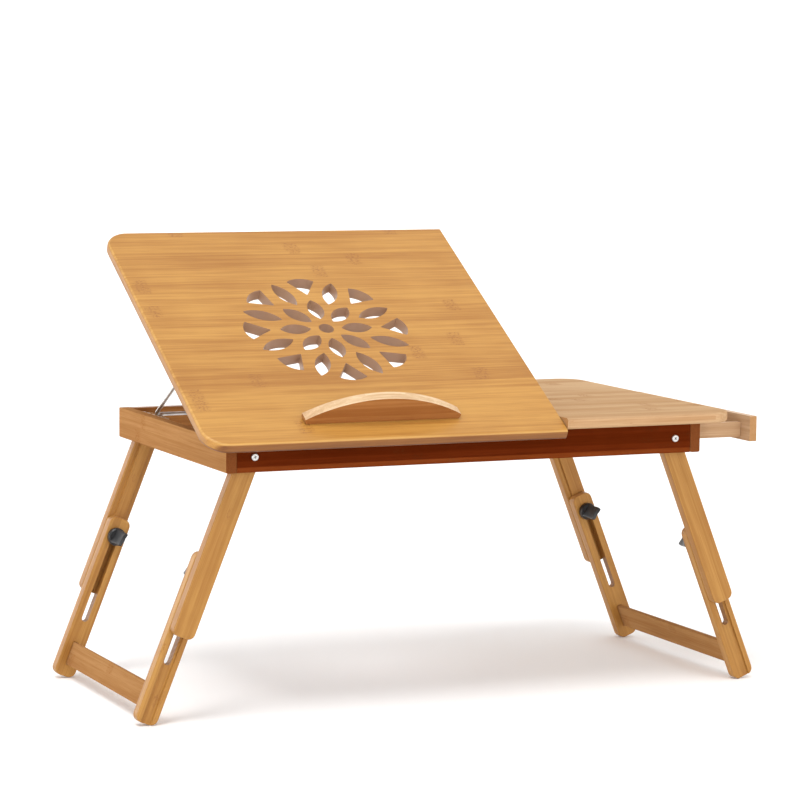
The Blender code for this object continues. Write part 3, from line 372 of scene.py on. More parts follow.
# How strongly each pattern shows
STREAK_SHARE = 1.3
FLOW_SHARE = 1.2
CLOUD_SHARE = 0.5
TONE_START = 0.24
FIBRE_COVER = 0.42
HALO_COVER = 0.22
PORE_COVER = 0.45
SCORCH_COVER = 0.88
GRAIN_BUMP = 0.22
RIDGE_RISE = 0.9
RIDGE_SHEEN = 0.08
SHEEN_CHANGE = 0.12

# Where a pattern starts and where it is full
SPECKLE_STEP = (0.50, 0.60)
FIBRE_STEP = (0.52, 0.74)
PORE_STEP = (0.42, 0.20)
KNUCKLE_REACH = (9.0 * MM, 4.0 * MM)

# The part of a normal at which a face starts and fully counts as an end, a flank and so on
END_FACING = (0.80, 0.95)
FLANK_FACING = (0.75, 0.95)
# Faces turned down this far get painted shade
UNDERSIDE_FACING = (0.10, -0.45)
# A rolled rim's upper part, between these two, gets a painted highlight
RIM_UPPER_FACING = (0.97, 0.86)
RIM_LOWER_FACING = (0.50, 0.66)
WALL_FACING = (0.6, 0.2)

# The lots drawn for a strip
STRIP_SEED = 3.17
LAYER_SEED = 7.31
FIRST_SEED = 0.5
SHIFT_SEED = 40.0

WANDER = 12.0 * MM
BOW = 2.0 * MM
FOOT_BLUR = 0.4 * MM
SCORCH_BLUR = 1.0 * MM
GRAIN_RELIEF = 0.12 * MM
LAYER_SHARE = 0.36
SCORCHED = (0.40, 0.245, 0.160)
UNTINTED = (1.0, 1.0, 1.0)

# How the grain is turned on boards that lie flat, stand on edge, tilt or splay
ALONG_X = Euler((0.0, 0.0, 0.0))
ALONG_Y = Euler((0.0, 0.0, RIGHT_ANGLE))
ON_EDGE = Euler((RIGHT_ANGLE, 0.0, 0.0))
ON_EDGE_ALONG_Y = Euler((RIGHT_ANGLE, 0.0, RIGHT_ANGLE))
TILTED = Euler((TILT, 0.0, 0.0))
TILTED_ON_EDGE = Euler((TILT + RIGHT_ANGLE, 0.0, 0.0))
DOWN_LEG = {
    "left": Euler((0.0, RIGHT_ANGLE + LEG_SPLAY, 0.0)),
    "right": Euler((0.0, RIGHT_ANGLE - LEG_SPLAY, 0.0)),
}


@dataclass(frozen=True)
class Lay:
    """How a board's grain lies: where its pattern starts and how it is turned."""

    origin: Vector
    turn: Euler


@dataclass(frozen=True)
class BoardPoint:
    """A shaded point in its board's own coordinates, and how the surface faces there."""

    graph: Graph
    board: Wire
    along: Wire
    across: Wire
    depth: Wire
    on_end: Wire
    on_flank: Wire
    facing_up: Wire

    @classmethod
    def read(cls, graph: Graph, lay: Lay) -> "BoardPoint":
        """Reads the point off an object's coordinates and normal.

        Args:
            graph: The material's nodes.
            lay: Where the grain starts and runs.

        Returns:
            The point.
        """
        inputs = graph.node("TexCoord")
        board = graph.node("Mapping", {"vector_type": "TEXTURE"}, {
            "Vector": inputs["Object"], "Location": lay.origin, "Rotation": lay.turn,
        })["Vector"]
        turned = graph.node("Mapping", {"vector_type": "NORMAL"}, {
            "Vector": inputs["Normal"], "Rotation": lay.turn.to_matrix().inverted().to_euler(),
        })["Vector"]
        place, normal = (
            graph.node("SeparateXYZ", None, {"Vector": vector}) for vector in (board, turned)
        )
        on_end = abs(normal["X"]).step(*END_FACING)
        on_flank = abs(normal["Y"]).step(*FLANK_FACING)
        return cls(graph, board, place["X"], place["Y"], place["Z"], on_end, on_flank, normal["Z"])


@dataclass(frozen=True)
class Strip:
    """One glued strip of a board: its width, tone and where its knuckles cross it."""

    width: float
    tone: float
    knuckles: tuple[float, float] = (-1.0, -1.0)


@dataclass(frozen=True)
class StripFacts:
    """The tone of the strip at a point, and where its two knuckles lie along it."""

    tone: Wire
    first: Wire
    second: Wire


@dataclass(frozen=True)
class Grain:
    """The patterns of the wood at a point."""

    streak: Wire
    fine: Wire
    cloud: Wire
    flow: Wire
    patch: Wire
    ridge: Wire

    @classmethod
    def read(cls, point: BoardPoint, strip: StripFacts) -> "Grain":
        """Draws the patterns.

        Args:
            point: The shaded point.
            strip: Its strip.

        Returns:
            The patterns.
        """
        graph = point.graph
        wander = (graph.noise(point.board, *WANDERING) - 0.5) * WANDER
        near, far = (
            abs(point.along - knuckle + wander).step(*KNUCKLE_REACH)
            for knuckle in (strip.first, strip.second)
        )
        patch = near.larger(far)
        speckle, streak, fine, flow = (
            graph.drawn_out(point.board, *pattern) for pattern in (SPECKLES, STREAKS, FIBRES, FLOW)
        )
        cloud = graph.noise(point.board, *CLOUDS)
        return cls(streak, fine, cloud, flow, patch, patch * speckle.step(*SPECKLE_STEP))


@dataclass(frozen=True)
class Bamboo:
    """Varnished laminated bamboo with strips, knuckles, fibres and end grain, and tints of painted light
    and shade on chosen faces.
    """

    name: str
    pale: Colour
    deep: Colour
    fibre: Colour = (0.30, 0.13, 0.035)
    knuckle: Colour = (0.27, 0.10, 0.03)
    end_grain: Colour = (0.42, 0.21, 0.075)
    strip_width: float = 15.0 * MM
    knuckle_spacing: float = 262.0 * MM
    tone_spread: float = 0.55
    roughness: float = 0.40
    specular: float = 0.0
    coat: float = 0.0
    coat_roughness: float = 0.22
    marks: float = 0.60
    end_cover: float = 0.75
    # Painted shade multiplied over faces turned down
    painted_underside_shade: Colour = UNTINTED
    # Painted light and shade multiplied over the flanks
    flank: Colour = UNTINTED
    # Painted highlight multiplied over a rolled rim's upper part
    painted_rim_highlight: Colour = UNTINTED
    # Painted light multiplied over a low band, as high as foot_height
    foot: Colour = UNTINTED
    foot_height: float = 0.0
    strips: tuple[Strip, ...] = ()

    def material(self, lay: Lay, holes: tuple[Vector, float] | None = None) -> bpy.types.Material:
        """Makes the material for one way of lying.

        Args:
            lay: Where the grain starts and runs.
            holes: Centre and radius, in the lay's own coordinates, of a field of laser-cut holes.

        Returns:
            The material.
        """
        graph = Graph(self.name)
        point = BoardPoint.read(graph, lay)
        strip = self.listed_strip(point) if self.strips else self.drawn_strip(point)
        grain = Grain.read(point, strip)
        colour = self.colour(point, strip, grain)
        if holes is not None:
            colour = self.scorched(colour, point, *holes)
        height = grain.fine * 0.5 + grain.streak * 0.5 + grain.ridge * RIDGE_RISE
        sheen = (grain.cloud - 0.5) * SHEEN_CHANGE + point.on_end * SHEEN_CHANGE + grain.ridge * RIDGE_SHEEN
        return graph.surface(
            Base_Color=colour,
            Roughness=sheen + self.roughness,
            Specular_IOR_Level=self.specular,
            Coat_Weight=self.coat,
            Coat_Roughness=self.coat_roughness,
            Normal=graph.bump(height, GRAIN_BUMP, GRAIN_RELIEF),
        )

    def colour(self, point: BoardPoint, strip: StripFacts, grain: Grain) -> Wire:
        """Colours every face of the board, with its painted light and shade.

        Args:
            point: The shaded point.
            strip: Its strip.
            grain: The wood's patterns there.

        Returns:
            The colour.
        """
        graph = point.graph
        pores = graph.node("TexVoronoi", {"feature": "F1"}, {
            "Vector": point.board, "Scale": PORE_CELLS,
        })["Distance"]
        cut = graph.blend(pores.step(*PORE_STEP) * PORE_COVER, self.end_grain, self.knuckle)
        waves = (
            (grain.streak - 0.5) * STREAK_SHARE
            + (grain.flow - 0.5) * FLOW_SHARE
            + (grain.cloud - 0.5) * CLOUD_SHARE
        )
        tone = strip.tone * self.tone_spread + waves + TONE_START
        up = point.facing_up
        low = point.depth.step(self.foot_height + FOOT_BLUR, self.foot_height - FOOT_BLUR)
        mixed: Colour | Wire = self.pale
        for cover, upper, mode in (
            (tone.step(0.0, 1.0), self.deep, "MIX"),
            (grain.fine.step(*FIBRE_STEP) * FIBRE_COVER, self.fibre, "MIX"),
            (grain.patch * HALO_COVER, self.deep, "MIX"),
            (grain.ridge * self.marks, self.knuckle, "MIX"),
            (point.on_end * self.end_cover, cut, "MIX"),
            # Painted shade on faces turned down
            (up.step(*UNDERSIDE_FACING), self.painted_underside_shade, "MULTIPLY"),
            # Painted light and shade on the flanks
            (point.on_flank, self.flank, "MULTIPLY"),
            # Painted highlight on a rolled rim's upper part
            (up.step(*RIM_UPPER_FACING) * up.step(*RIM_LOWER_FACING), self.painted_rim_highlight, "MULTIPLY"),
            # Painted light on the low band
            (low, self.foot, "MULTIPLY"),
        ):
            mixed = graph.blend(cover, mixed, upper, mode)
        return mixed

    def drawn_strip(self, point: BoardPoint) -> StripFacts:
        """Draws lots for the strip at a point.

        Args:
            point: The shaded point.

        Returns:
            What the strip there is like.
        """
        graph = point.graph
        start = graph.node("CombineXYZ", None, {"X": point.along})["Vector"]
        bow = (graph.drawn_out(start, *BOWING) - 0.5) * BOW
        index = ((point.across + bow) / self.strip_width).floor()
        layer = (point.depth / (self.strip_width * LAYER_SHARE)).floor() * point.on_flank
        seed = index * STRIP_SEED + layer * LAYER_SEED + FIRST_SEED
        tone, shift = (
            graph.node("TexWhiteNoise", {"noise_dimensions": "1D"}, {"W": lot})["Value"]
            for lot in (seed, seed + SHIFT_SEED)
        )
        offset = shift * self.knuckle_spacing
        passed = ((point.along - offset) / self.knuckle_spacing).floor()
        first = offset + passed * self.knuckle_spacing
        return StripFacts(tone, first, first + self.knuckle_spacing)

    def listed_strip(self, point: BoardPoint) -> StripFacts:
        """Looks the strip at a point up in this finish's own list.

        Args:
            point: The shaded point.

        Returns:
            What the strip there is like.
        """
        total = sum(strip.width for strip in self.strips)
        stops = []
        reached = 0.0
        for strip in self.strips:
            stored = ((place + 1.0) / 2.0 for place in strip.knuckles)
            stops.append((reached / total, (strip.tone, *stored)))
            reached += strip.width
        table = point.graph.node("ValToRGB", {"blend": "CONSTANT", "stops": stops}, {
            "Fac": point.across / total,
        })["Color"]
        facts = point.graph.node("SeparateColor", None, {"Color": table})
        return StripFacts(facts["Red"], facts["Green"] * 2.0 - 1.0, facts["Blue"] * 2.0 - 1.0)

    @staticmethod
    def scorched(colour: Wire, point: BoardPoint, centre: Vector, radius: float) -> Wire:
        """Browns the walls of laser-cut holes.

        Args:
            colour: The colour so far.
            point: The shaded point.
            centre: The middle of the field of holes.
            radius: The field's radius.

        Returns:
            The colour with its browned walls.
        """
        from_centre = ((point.along - centre.x) ** 2.0 + (point.across - centre.y) ** 2.0) ** 0.5
        wall = abs(point.facing_up).step(*WALL_FACING) * from_centre.step(radius + SCORCH_BLUR, radius)
        return point.graph.blend(wall * SCORCH_COVER, colour, SCORCHED)


@dataclass(frozen=True)
class Metal:
    """Bare metal with fine scratches, and painted shade in a driver's recess when one is given."""

    name: str
    colour: Colour
    dark: Colour
    roughness: float = 0.28
    scratches: tuple[float, ...] = (900.0, 72.0, 3.0, 0.6)
    scratch_bump: tuple[float, float] = (0.12, 0.05 * MM)
    stains: tuple[float, float] = (160.0, 3.0)
    stain_step: tuple[float, float] = (0.42, 0.78)
    stain_cover: float = 0.6
    # Painted shade for a driver's recess: its dark colour, the depth below the crown where it starts and
    # how far out it reaches
    painted_recess_shade: Colour = (0.035, 0.030, 0.026)
    recess_shade_depth: tuple[float, float] = (0.10 * MM, 0.30 * MM)
    recess_shade_reach: float = 1.06

    def material(self, recess: tuple[Vector, float, float] | None = None) -> bpy.types.Material:
        """Makes the material.

        Args:
            recess: Crown's middle, which way along Y it faces and reach of a driver's recess, which
            gets painted shade.

        Returns:
            The material.
        """
        graph = Graph(self.name)
        place = graph.node("TexCoord")["Object"]
        scratch = graph.drawn_out(place, *self.scratches)
        stain = graph.noise(place, *self.stains)
        colour = graph.blend(stain.step(*self.stain_step) * self.stain_cover, self.colour, self.dark)
        if recess is not None:
            # Painted shade: faces sunk below the crown near the axis are darkened as if shadowed
            crown, out, reach = recess
            point = graph.node("SeparateXYZ", None, {"Vector": place})
            sunk = (point["Y"] * -out + crown.y * out).step(*self.recess_shade_depth)
            from_axis = ((point["X"] - crown.x) ** 2.0 + (point["Z"] - crown.z) ** 2.0) ** 0.5
            inside = from_axis.step(reach * self.recess_shade_reach, reach)
            colour = graph.blend(sunk * inside, colour, self.painted_recess_shade)
        return graph.surface(
            Base_Color=colour,
            Metallic=1.0,
            Roughness=self.roughness + (scratch - 0.5) * 0.18 + stain * 0.08,
            Normal=graph.bump(scratch, *self.scratch_bump),
        )


@dataclass(frozen=True)
class Plastic:
    """Moulded plastic with a fine spark-eroded skin."""

    name: str
    colour: Colour
    worn: Colour
    roughness: float = 0.36
    skin: tuple[float, float] = (2600.0, 2.0)
    skin_bump: tuple[float, float] = (0.18, 0.06 * MM)
    wear: tuple[float, float] = (190.0, 3.0)
    wear_step: tuple[float, float] = (0.5, 0.8)

    def material(self) -> bpy.types.Material:
        """Makes the material."""
        graph = Graph(self.name)
        place = graph.node("TexCoord")["Object"]
        skin = graph.noise(place, *self.skin)
        rubbed = graph.noise(place, *self.wear)
        return graph.surface(
            Base_Color=graph.blend(rubbed.step(*self.wear_step) * 0.5, self.colour, self.worn),
            Roughness=self.roughness + (rubbed - 0.5) * 0.16,
            Normal=graph.bump(skin, *self.skin_bump),
        )


TILT_TOP_STRIPS = (
    Strip(12.0 * MM, 0.30),
    Strip(19.0 * MM, 0.14, (0.103, -1.0)),
    Strip(20.0 * MM, 0.0),
    Strip(21.0 * MM, 0.08, (0.013, -1.0)),
    Strip(14.0 * MM, 0.32, (0.013, -1.0)),
    Strip(20.0 * MM, 0.62, (0.080, 0.312)),
    Strip(17.0 * MM, 0.45),
    Strip(20.0 * MM, 0.30, (0.258, -1.0)),
    Strip(22.0 * MM, 0.38, (0.307, -1.0)),
    Strip(18.0 * MM, 0.20),
    Strip(19.0 * MM, 0.42),
    Strip(19.0 * MM, 0.30, (0.013, 0.325)),
    Strip(20.0 * MM, 0.15),
    Strip(24.0 * MM, 0.40, (0.013, -1.0)),
    Strip(20.0 * MM, 0.30, (0.205, -1.0)),
    Strip(20.0 * MM, 0.48, (0.250, -1.0)),
    Strip(20.0 * MM, 0.25, (0.190, -1.0)),
    Strip(14.0 * MM, 0.35),
    Strip(11.0 * MM, 0.50, (0.075, 0.307)),
)
TILT_TOP = Bamboo(
    "tilting_top_bamboo",
    (0.557, 0.281, 0.061),
    (0.377, 0.155, 0.026),
    fibre=(0.323, 0.141, 0.035),
    tone_spread=0.75,
    specular=0.35,
    coat=0.10,
    # Painted shade on the underside and the lower half of the rolled edges
    painted_underside_shade=(0.42, 0.30, 0.24),
    # Painted shade on the front and back edges
    flank=(0.50, 0.38, 0.30),
    # Painted highlight on the upper half of the rolled edges
    painted_rim_highlight=(1.12, 1.25, 1.60),
    strips=TILT_TOP_STRIPS,
)
# The wood's colour with painted sheen: paler and bluer for the varnish's sheen at a low angle, in place of
# a specular shine
FIXED_TOP = Bamboo(
    "side_top_bamboo",
    (0.577, 0.392, 0.231),
    (0.449, 0.267, 0.136),
    fibre=(0.363, 0.202, 0.095),
    strip_width=19.0 * MM,
    # Painted tint on the edges, for how the light falls on them
    flank=(1.00, 0.95, 0.90),
)
LEDGE = Bamboo(
    "ledge_bamboo",
    (0.407, 0.169, 0.050),
    (0.292, 0.105, 0.027),
    fibre=(0.230, 0.076, 0.017),
    strip_width=9.0 * MM,
    specular=0.04,
    # Painted light and sheen: the flank faces are lifted to a lit, glossy look
    flank=(1.986, 3.618, 7.875),
)
# Darker wood with painted shade: the front rail's colours are darkened for the shadow of the top's overhang
RAIL = Bamboo(
    "long_rail_bamboo",
    (0.130, 0.021, 0.004),
    (0.091, 0.013, 0.002),
    fibre=(0.057, 0.007, 0.002),
    knuckle=(0.090, 0.022, 0.006),
    end_grain=(0.180, 0.050, 0.014),
    # Painted light on the rail's lowest band, its rounded lower edge catching light
    foot=(1.75, 2.40, 2.80),
    foot_height=5.0 * MM,
)
# A little deeper than the end rails' wood, partly as painted shade
BACK_RAIL = Bamboo("back_rail_bamboo", (0.400, 0.175, 0.050), (0.290, 0.112, 0.028), specular=0.1)
END_RAIL = Bamboo(
    "end_rail_bamboo",
    (0.482, 0.253, 0.100),
    (0.356, 0.167, 0.060),
    fibre=(0.262, 0.109, 0.038),
    end_grain=(0.180, 0.050, 0.014),
    end_cover=0.95,
)
LEG = Bamboo(
    "leg_bamboo",
    (0.486, 0.250, 0.063),
    (0.348, 0.153, 0.033),
    fibre=(0.259, 0.105, 0.022),
    strip_width=11.0 * MM,
    knuckle_spacing=310.0 * MM,
    specular=0.2,
    coat=0.05,
    marks=0.45,
)
CROSSBAR = Bamboo(
    "crossbar_bamboo",
    (0.409, 0.213, 0.084),
    (0.303, 0.137, 0.047),
    fibre=(0.229, 0.091, 0.027),
    strip_width=11.0 * MM,
    marks=0.45,
)
DRAWER = Bamboo(
    "drawer_bamboo",
    (0.577, 0.389, 0.238),
    (0.437, 0.259, 0.135),
    fibre=(0.332, 0.176, 0.083),
    strip_width=12.0 * MM,
    specular=0.04,
    marks=0.40,
)
STEEL = Metal("zinc_plated_steel", (0.60, 0.59, 0.57), (0.30, 0.285, 0.27))
BRASS = Metal("satin_brass", (0.66, 0.47, 0.20), (0.36, 0.24, 0.09), roughness=0.34)
PLASTIC = Plastic("black_moulded_plastic", (0.012, 0.012, 0.013), (0.030, 0.030, 0.031))


# Modelling by hand


def renamed(thing: bpy.types.Object, name: str) -> bpy.types.Object:
    """Gives an object and its mesh a name."""
    thing.name = thing.data.name = name
    return thing


def select_nothing() -> None:
    """Leaves no object selected."""
    for thing in bpy.context.selected_objects:
        thing.select_set(False)


def take(thing: bpy.types.Object) -> None:
    """Selects one object alone and makes it the active one."""
    select_nothing()
    thing.select_set(True)
    bpy.context.view_layer.objects.active = thing


@contextmanager
def editing(
    thing: bpy.types.Object, kind: Elements, test: Callable[[object], bool] | None
) -> Iterator[None]:
    """Edit mode on one object with chosen elements selected.

    Args:
        thing: The object.
        kind: What is chosen.
        test: Picks an element, or None for all of them.

    Yields:
        Nothing, while edit mode is on.
    """
    take(thing)
    groups = (thing.data.vertices, thing.data.edges, thing.data.polygons)
    for group in groups:
        group.foreach_set("select", [test is None] * len(group))
    if test is not None:
        for element in groups[kind.value.index(True)]:
            element.select = bool(test(element))
    bpy.context.tool_settings.mesh_select_mode = kind.value
    bpy.ops.object.mode_set(mode="EDIT")
    try:
        yield
    finally:
        bpy.ops.object.mode_set(mode="OBJECT")


def edge_ends(thing: bpy.types.Object, edge: bpy.types.MeshEdge) -> tuple[Vector, Vector]:
    """Both ends of an edge."""
    points = thing.data.vertices
    return points[edge.vertices[0]].co, points[edge.vertices[1]].co


def add_cylinder(name: str, radius: float, height: float, sides: int, at: Vector) -> bpy.types.Object:
    """A cylinder primitive along Z, standing on a point.

    Args:
        name: Its name.
        radius: Its radius.
        height: Its height.
        sides: Its sides.
        at: The middle of its lower end.

    Returns:
        The object.
    """
    select_nothing()
    bpy.ops.mesh.primitive_cylinder_add(
        vertices=sides, radius=radius, depth=height, location=at + Vector((0.0, 0.0, height / 2))
    )
    return named(name)


def add_block(name: str, low: Vector, high: Vector) -> bpy.types.Object:
    """A cube primitive drawn out between two corners.

    Args:
        name: Its name.
        low: Its lowest corner.
        high: Its highest corner.

    Returns:
        The object.
    """
    select_nothing()
    bpy.ops.mesh.primitive_cube_add(size=1.0, location=(low + high) / 2, scale=high - low)
    return named(name)


def named(name: str) -> bpy.types.Object:
    """Names the new active object and puts its place into its mesh.

    Args:
        name: Its name.

    Returns:
        The object.
    """
    made = renamed(bpy.context.active_object, name)
    bpy.ops.object.transform_apply(location=True, rotation=True, scale=True)
    return made


def copied(thing: bpy.types.Object, name: str) -> bpy.types.Object:
    """A copy of an object with a mesh of its own.

    Args:
        thing: The object.
        name: The copy's name.

    Returns:
        The copy.
    """
    take(thing)
    bpy.ops.object.duplicate(linked=False)
    return renamed(bpy.context.active_object, name)


def moved(thing: bpy.types.Object, matrix: Matrix) -> bpy.types.Object:
    """Moves or turns an object and puts its place into its mesh.

    Args:
        thing: The object.
        matrix: The move.

    Returns:
        The same object.
    """
    take(thing)
    thing.matrix_world = matrix @ thing.matrix_world
    bpy.ops.object.transform_apply(location=True, rotation=True, scale=True)
    return thing


def joined(things: list[bpy.types.Object], name: str) -> bpy.types.Object:
    """Several objects put into one mesh.

    Args:
        things: The objects.
        name: The name of the whole.

    Returns:
        The whole.
    """
    select_nothing()
    for thing in things:
        thing.select_set(True)
    bpy.context.view_layer.objects.active = things[0]
    bpy.ops.object.join()
    return renamed(things[0], name)


def apply(thing: bpy.types.Object, kind: str, **settings: object) -> bpy.types.Object:
    """Adds one modifier and applies it.

    Args:
        thing: The object.
        kind: The modifier's type.
        settings: Its settings.

    Returns:
        The same object.
    """
    take(thing)
    change = thing.modifiers.new(kind.title(), kind)
    for name, value in settings.items():
        setattr(change, name, value)
    bpy.ops.object.modifier_apply(modifier=change.name)
    return thing


def combine(thing: bpy.types.Object, tool: bpy.types.Object, operation: str) -> bpy.types.Object:
    """Cuts, joins or intersects an object with another, which is used up.

    Args:
        thing: The object that stays.
        tool: The other object.
        operation: DIFFERENCE, UNION or INTERSECT.

    Returns:
        The object that stays.
    """
    apply(thing, "BOOLEAN", operation=operation, solver="EXACT", object=tool)
    bpy.data.objects.remove(tool)
    return thing


def ease_edges(thing: bpy.types.Object, width: float, segments: int = 2) -> None:
    """Rounds every sharp edge a little.

    Args:
        thing: The object.
        width: How far the rounding reaches from an edge.
        segments: Its steps.
    """
    apply(
        thing,
        "BEVEL",
        width=width,
        segments=segments,
        limit_method="ANGLE",
        angle_limit=EDGE_ANGLE,
        use_clamp_overlap=True,
        harden_normals=False,
    )


def smooth(thing: bpy.types.Object) -> bpy.types.Object:
    """Shades an object smooth except at sharp edges, with its broad faces kept flat."""
    take(thing)
    bpy.ops.object.shade_smooth_by_angle(angle=SMOOTH_ANGLE)
    return apply(thing, "WEIGHTED_NORMAL", keep_sharp=True)


@dataclass
class Dresser:
    """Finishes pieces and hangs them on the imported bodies."""

    frame: dict[str, object]

    def dress(
        self,
        thing: bpy.types.Object,
        material: bpy.types.Material,
        slot: Slot,
        body: str,
        nodes: tuple[str, ...] = (),
    ) -> bpy.types.Object:
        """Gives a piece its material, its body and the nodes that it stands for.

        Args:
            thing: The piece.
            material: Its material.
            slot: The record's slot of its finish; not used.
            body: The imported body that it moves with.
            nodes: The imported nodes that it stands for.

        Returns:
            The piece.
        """
        thing.data.materials.clear()
        thing.data.materials.append(material)
        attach(thing, body)
        if nodes:
            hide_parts(*nodes)
        log.info("%s rides on %s, %d faces", thing.name, body, len(thing.data.polygons))
        return thing

    def body_of(self, node: str) -> str:
        """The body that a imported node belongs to."""
        return self.frame["nodes"][node]["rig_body"]

    def refined(
        self, node: str, name: str, material: bpy.types.Material, slot: Slot, ease: float, segments: int = 2
    ) -> bpy.types.Object:
        """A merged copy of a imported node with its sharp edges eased, in the node's place.

        Args:
            node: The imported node.
            name: The copy's name.
            material: Its material.
            slot: The record's slot of its finish.
            ease: How far the rounding reaches from an edge.
            segments: The rounding's steps.

        Returns:
            The copy.
        """
        source = self.frame["nodes"][node]
        made = bpy.data.objects.new(name, source.data.copy())
        bpy.context.scene.collection.objects.link(made)
        made.data.name = name
        with editing(made, Elements.VERTICES, None):
            bpy.ops.mesh.customdata_custom_splitnormals_clear()
            bpy.ops.mesh.remove_doubles(threshold=MERGE_DISTANCE)
            bpy.ops.mesh.dissolve_limited(angle_limit=FLAT_ANGLE)
        if ease > 0.0:
            ease_edges(made, ease, segments)
        smooth(made)
        return self.dress(made, material, slot, self.body_of(node), (node,))


# Sub-assemblies


@dataclass
class TopBoard:
    """A top board: rounded outer corners and rolled edges round three sides."""

    low: Vector
    high: Vector
    rounded_side: str
    corner_radius: float = 25.0 * MM
    rolled_edge: float = 3.5 * MM
    corner_segments: int = 14
    roll_segments: int = 5

    def build(self, name: str) -> bpy.types.Object:
        """Models the board flat, in its own place.

        Args:
            name: Its name.

        Returns:
            The board.
        """
        board = add_block(name, self.low, self.high)
        outer = self.low.x if self.rounded_side == "left" else self.high.x
        split = self.high.x if self.rounded_side == "left" else self.low.x

        def at_corner(edge: bpy.types.MeshEdge) -> bool:
            a, b = edge_ends(board, edge)
            return abs(a.z - b.z) > GAP and abs(a.x - outer) < GAP

        def on_rim(edge: bpy.types.MeshEdge) -> bool:
            a, b = edge_ends(board, edge)
            flat = abs(a.z - b.z) < GAP
            return flat and not (abs(a.x - split) < GAP and abs(b.x - split) < GAP)

        with editing(board, Elements.EDGES, at_corner):
            bpy.ops.mesh.bevel(offset=self.corner_radius, segments=self.corner_segments, affect="EDGES")
        with editing(board, Elements.EDGES, on_rim):
            bpy.ops.mesh.bevel(offset=self.rolled_edge, segments=self.roll_segments, affect="EDGES")
        return board


@dataclass
class FlowerVent:
    """The vent's holes as cutting tools round a centre."""

    centre: Vector
    reach: float
    repeats: int = 8
    hole_radius: float = 7.5 * MM
    inner: tuple[float, float, float] = (16.0 * MM, 48.0 * MM, 16.0 * MM)
    outer: tuple[float, float, float] = (43.5 * MM, 82.5 * MM, 15.5 * MM)
    rim_apex: float = 57.0 * MM
    rim_shoulder: float = 80.0 * MM
    rim_crown: float = 85.0 * MM
    rim_half_width: float = 14.5 * MM
    rim_round: float = 1.6 * MM
    round_segments: int = 4
    sides: int = 128

    def petal(self, start: float, end: float, width: float) -> bpy.types.Object:
        """A pointed petal, where two round columns meet.

        Args:
            start: Its inner point's distance from the centre.
            end: Its outer point's distance.
            width: Its greatest width.

        Returns:
            The tool, along X from the origin.
        """
        radius = ((end - start) ** 2 + width ** 2) / (4 * width)
        middle = Vector(((start + end) / 2, 0.0, -self.reach / 2))
        shift = Vector((0.0, radius - width / 2, 0.0))
        one = add_cylinder("petal", radius, self.reach, self.sides, middle + shift)
        other = add_cylinder("petal_flank", radius, self.reach, self.sides, middle - shift)
        return combine(one, other, "INTERSECT")

    def rim_hole(self) -> bpy.types.Object:
        """A wedge with a bowed outer side and softened corners, along X from the origin."""
        bow = self.rim_crown - self.rim_shoulder
        radius = (self.rim_half_width ** 2 + bow ** 2) / (2 * bow)
        slope = self.rim_half_width / (self.rim_shoulder - self.rim_apex)
        far = self.rim_crown + bow
        half = slope * (far - self.rim_apex)
        base = -self.reach / 2
        wedge = add_block("rim_hole", Vector((self.rim_apex, -half, base)), Vector((far, half, -base)))

        def at_apex(vertex: bpy.types.MeshVertex) -> bool:
            return vertex.co.x < self.rim_apex + GAP

        with editing(wedge, Elements.VERTICES, at_apex):
            bpy.ops.transform.resize(
                value=(1.0, 0.0, 1.0), center_override=(self.rim_apex, 0.0, 0.0), orient_type="GLOBAL"
            )
            bpy.ops.mesh.select_all(action="SELECT")
            bpy.ops.mesh.remove_doubles(threshold=MERGE_DISTANCE)
        middle = Vector((self.rim_crown - radius, 0.0, base))
        bow_tool = add_cylinder("rim_bow", radius, self.reach, self.sides, middle)
        hole = combine(wedge, bow_tool, "INTERSECT")

        def upright_corner(edge: bpy.types.MeshEdge) -> bool:
            a, b = edge_ends(hole, edge)
            corner = a.x < self.rim_apex + GAP or abs(a.y) > self.rim_half_width - GAP
            return abs(a.z - b.z) > GAP and corner

        with editing(hole, Elements.EDGES, upright_corner):
            bpy.ops.mesh.bevel(offset=self.rim_round, segments=self.round_segments, affect="EDGES")
        return hole

    def tools(self) -> bpy.types.Object:
        """All the holes as one tool in the vent's place."""
        step = math.tau / self.repeats
        patterns = (
            (self.petal(*self.inner), 0.0),
            (self.petal(*self.outer), step / 2),
            (self.rim_hole(), 0.0),
        )
        parts = []
        for pattern, start in patterns:
            for index in range(self.repeats):
                turn = Matrix.Rotation(start + index * step, 4, "Z")
                parts.append(moved(copied(pattern, f"{pattern.name}_{index}"), turn))
            bpy.data.objects.remove(pattern)
        low = Vector((0.0, 0.0, -self.reach / 2))
        parts.append(add_cylinder("vent_eye", self.hole_radius, self.reach, self.sides // 2, low))
        return moved(joined(parts, "vent_tools"), Matrix.Translation(self.centre))


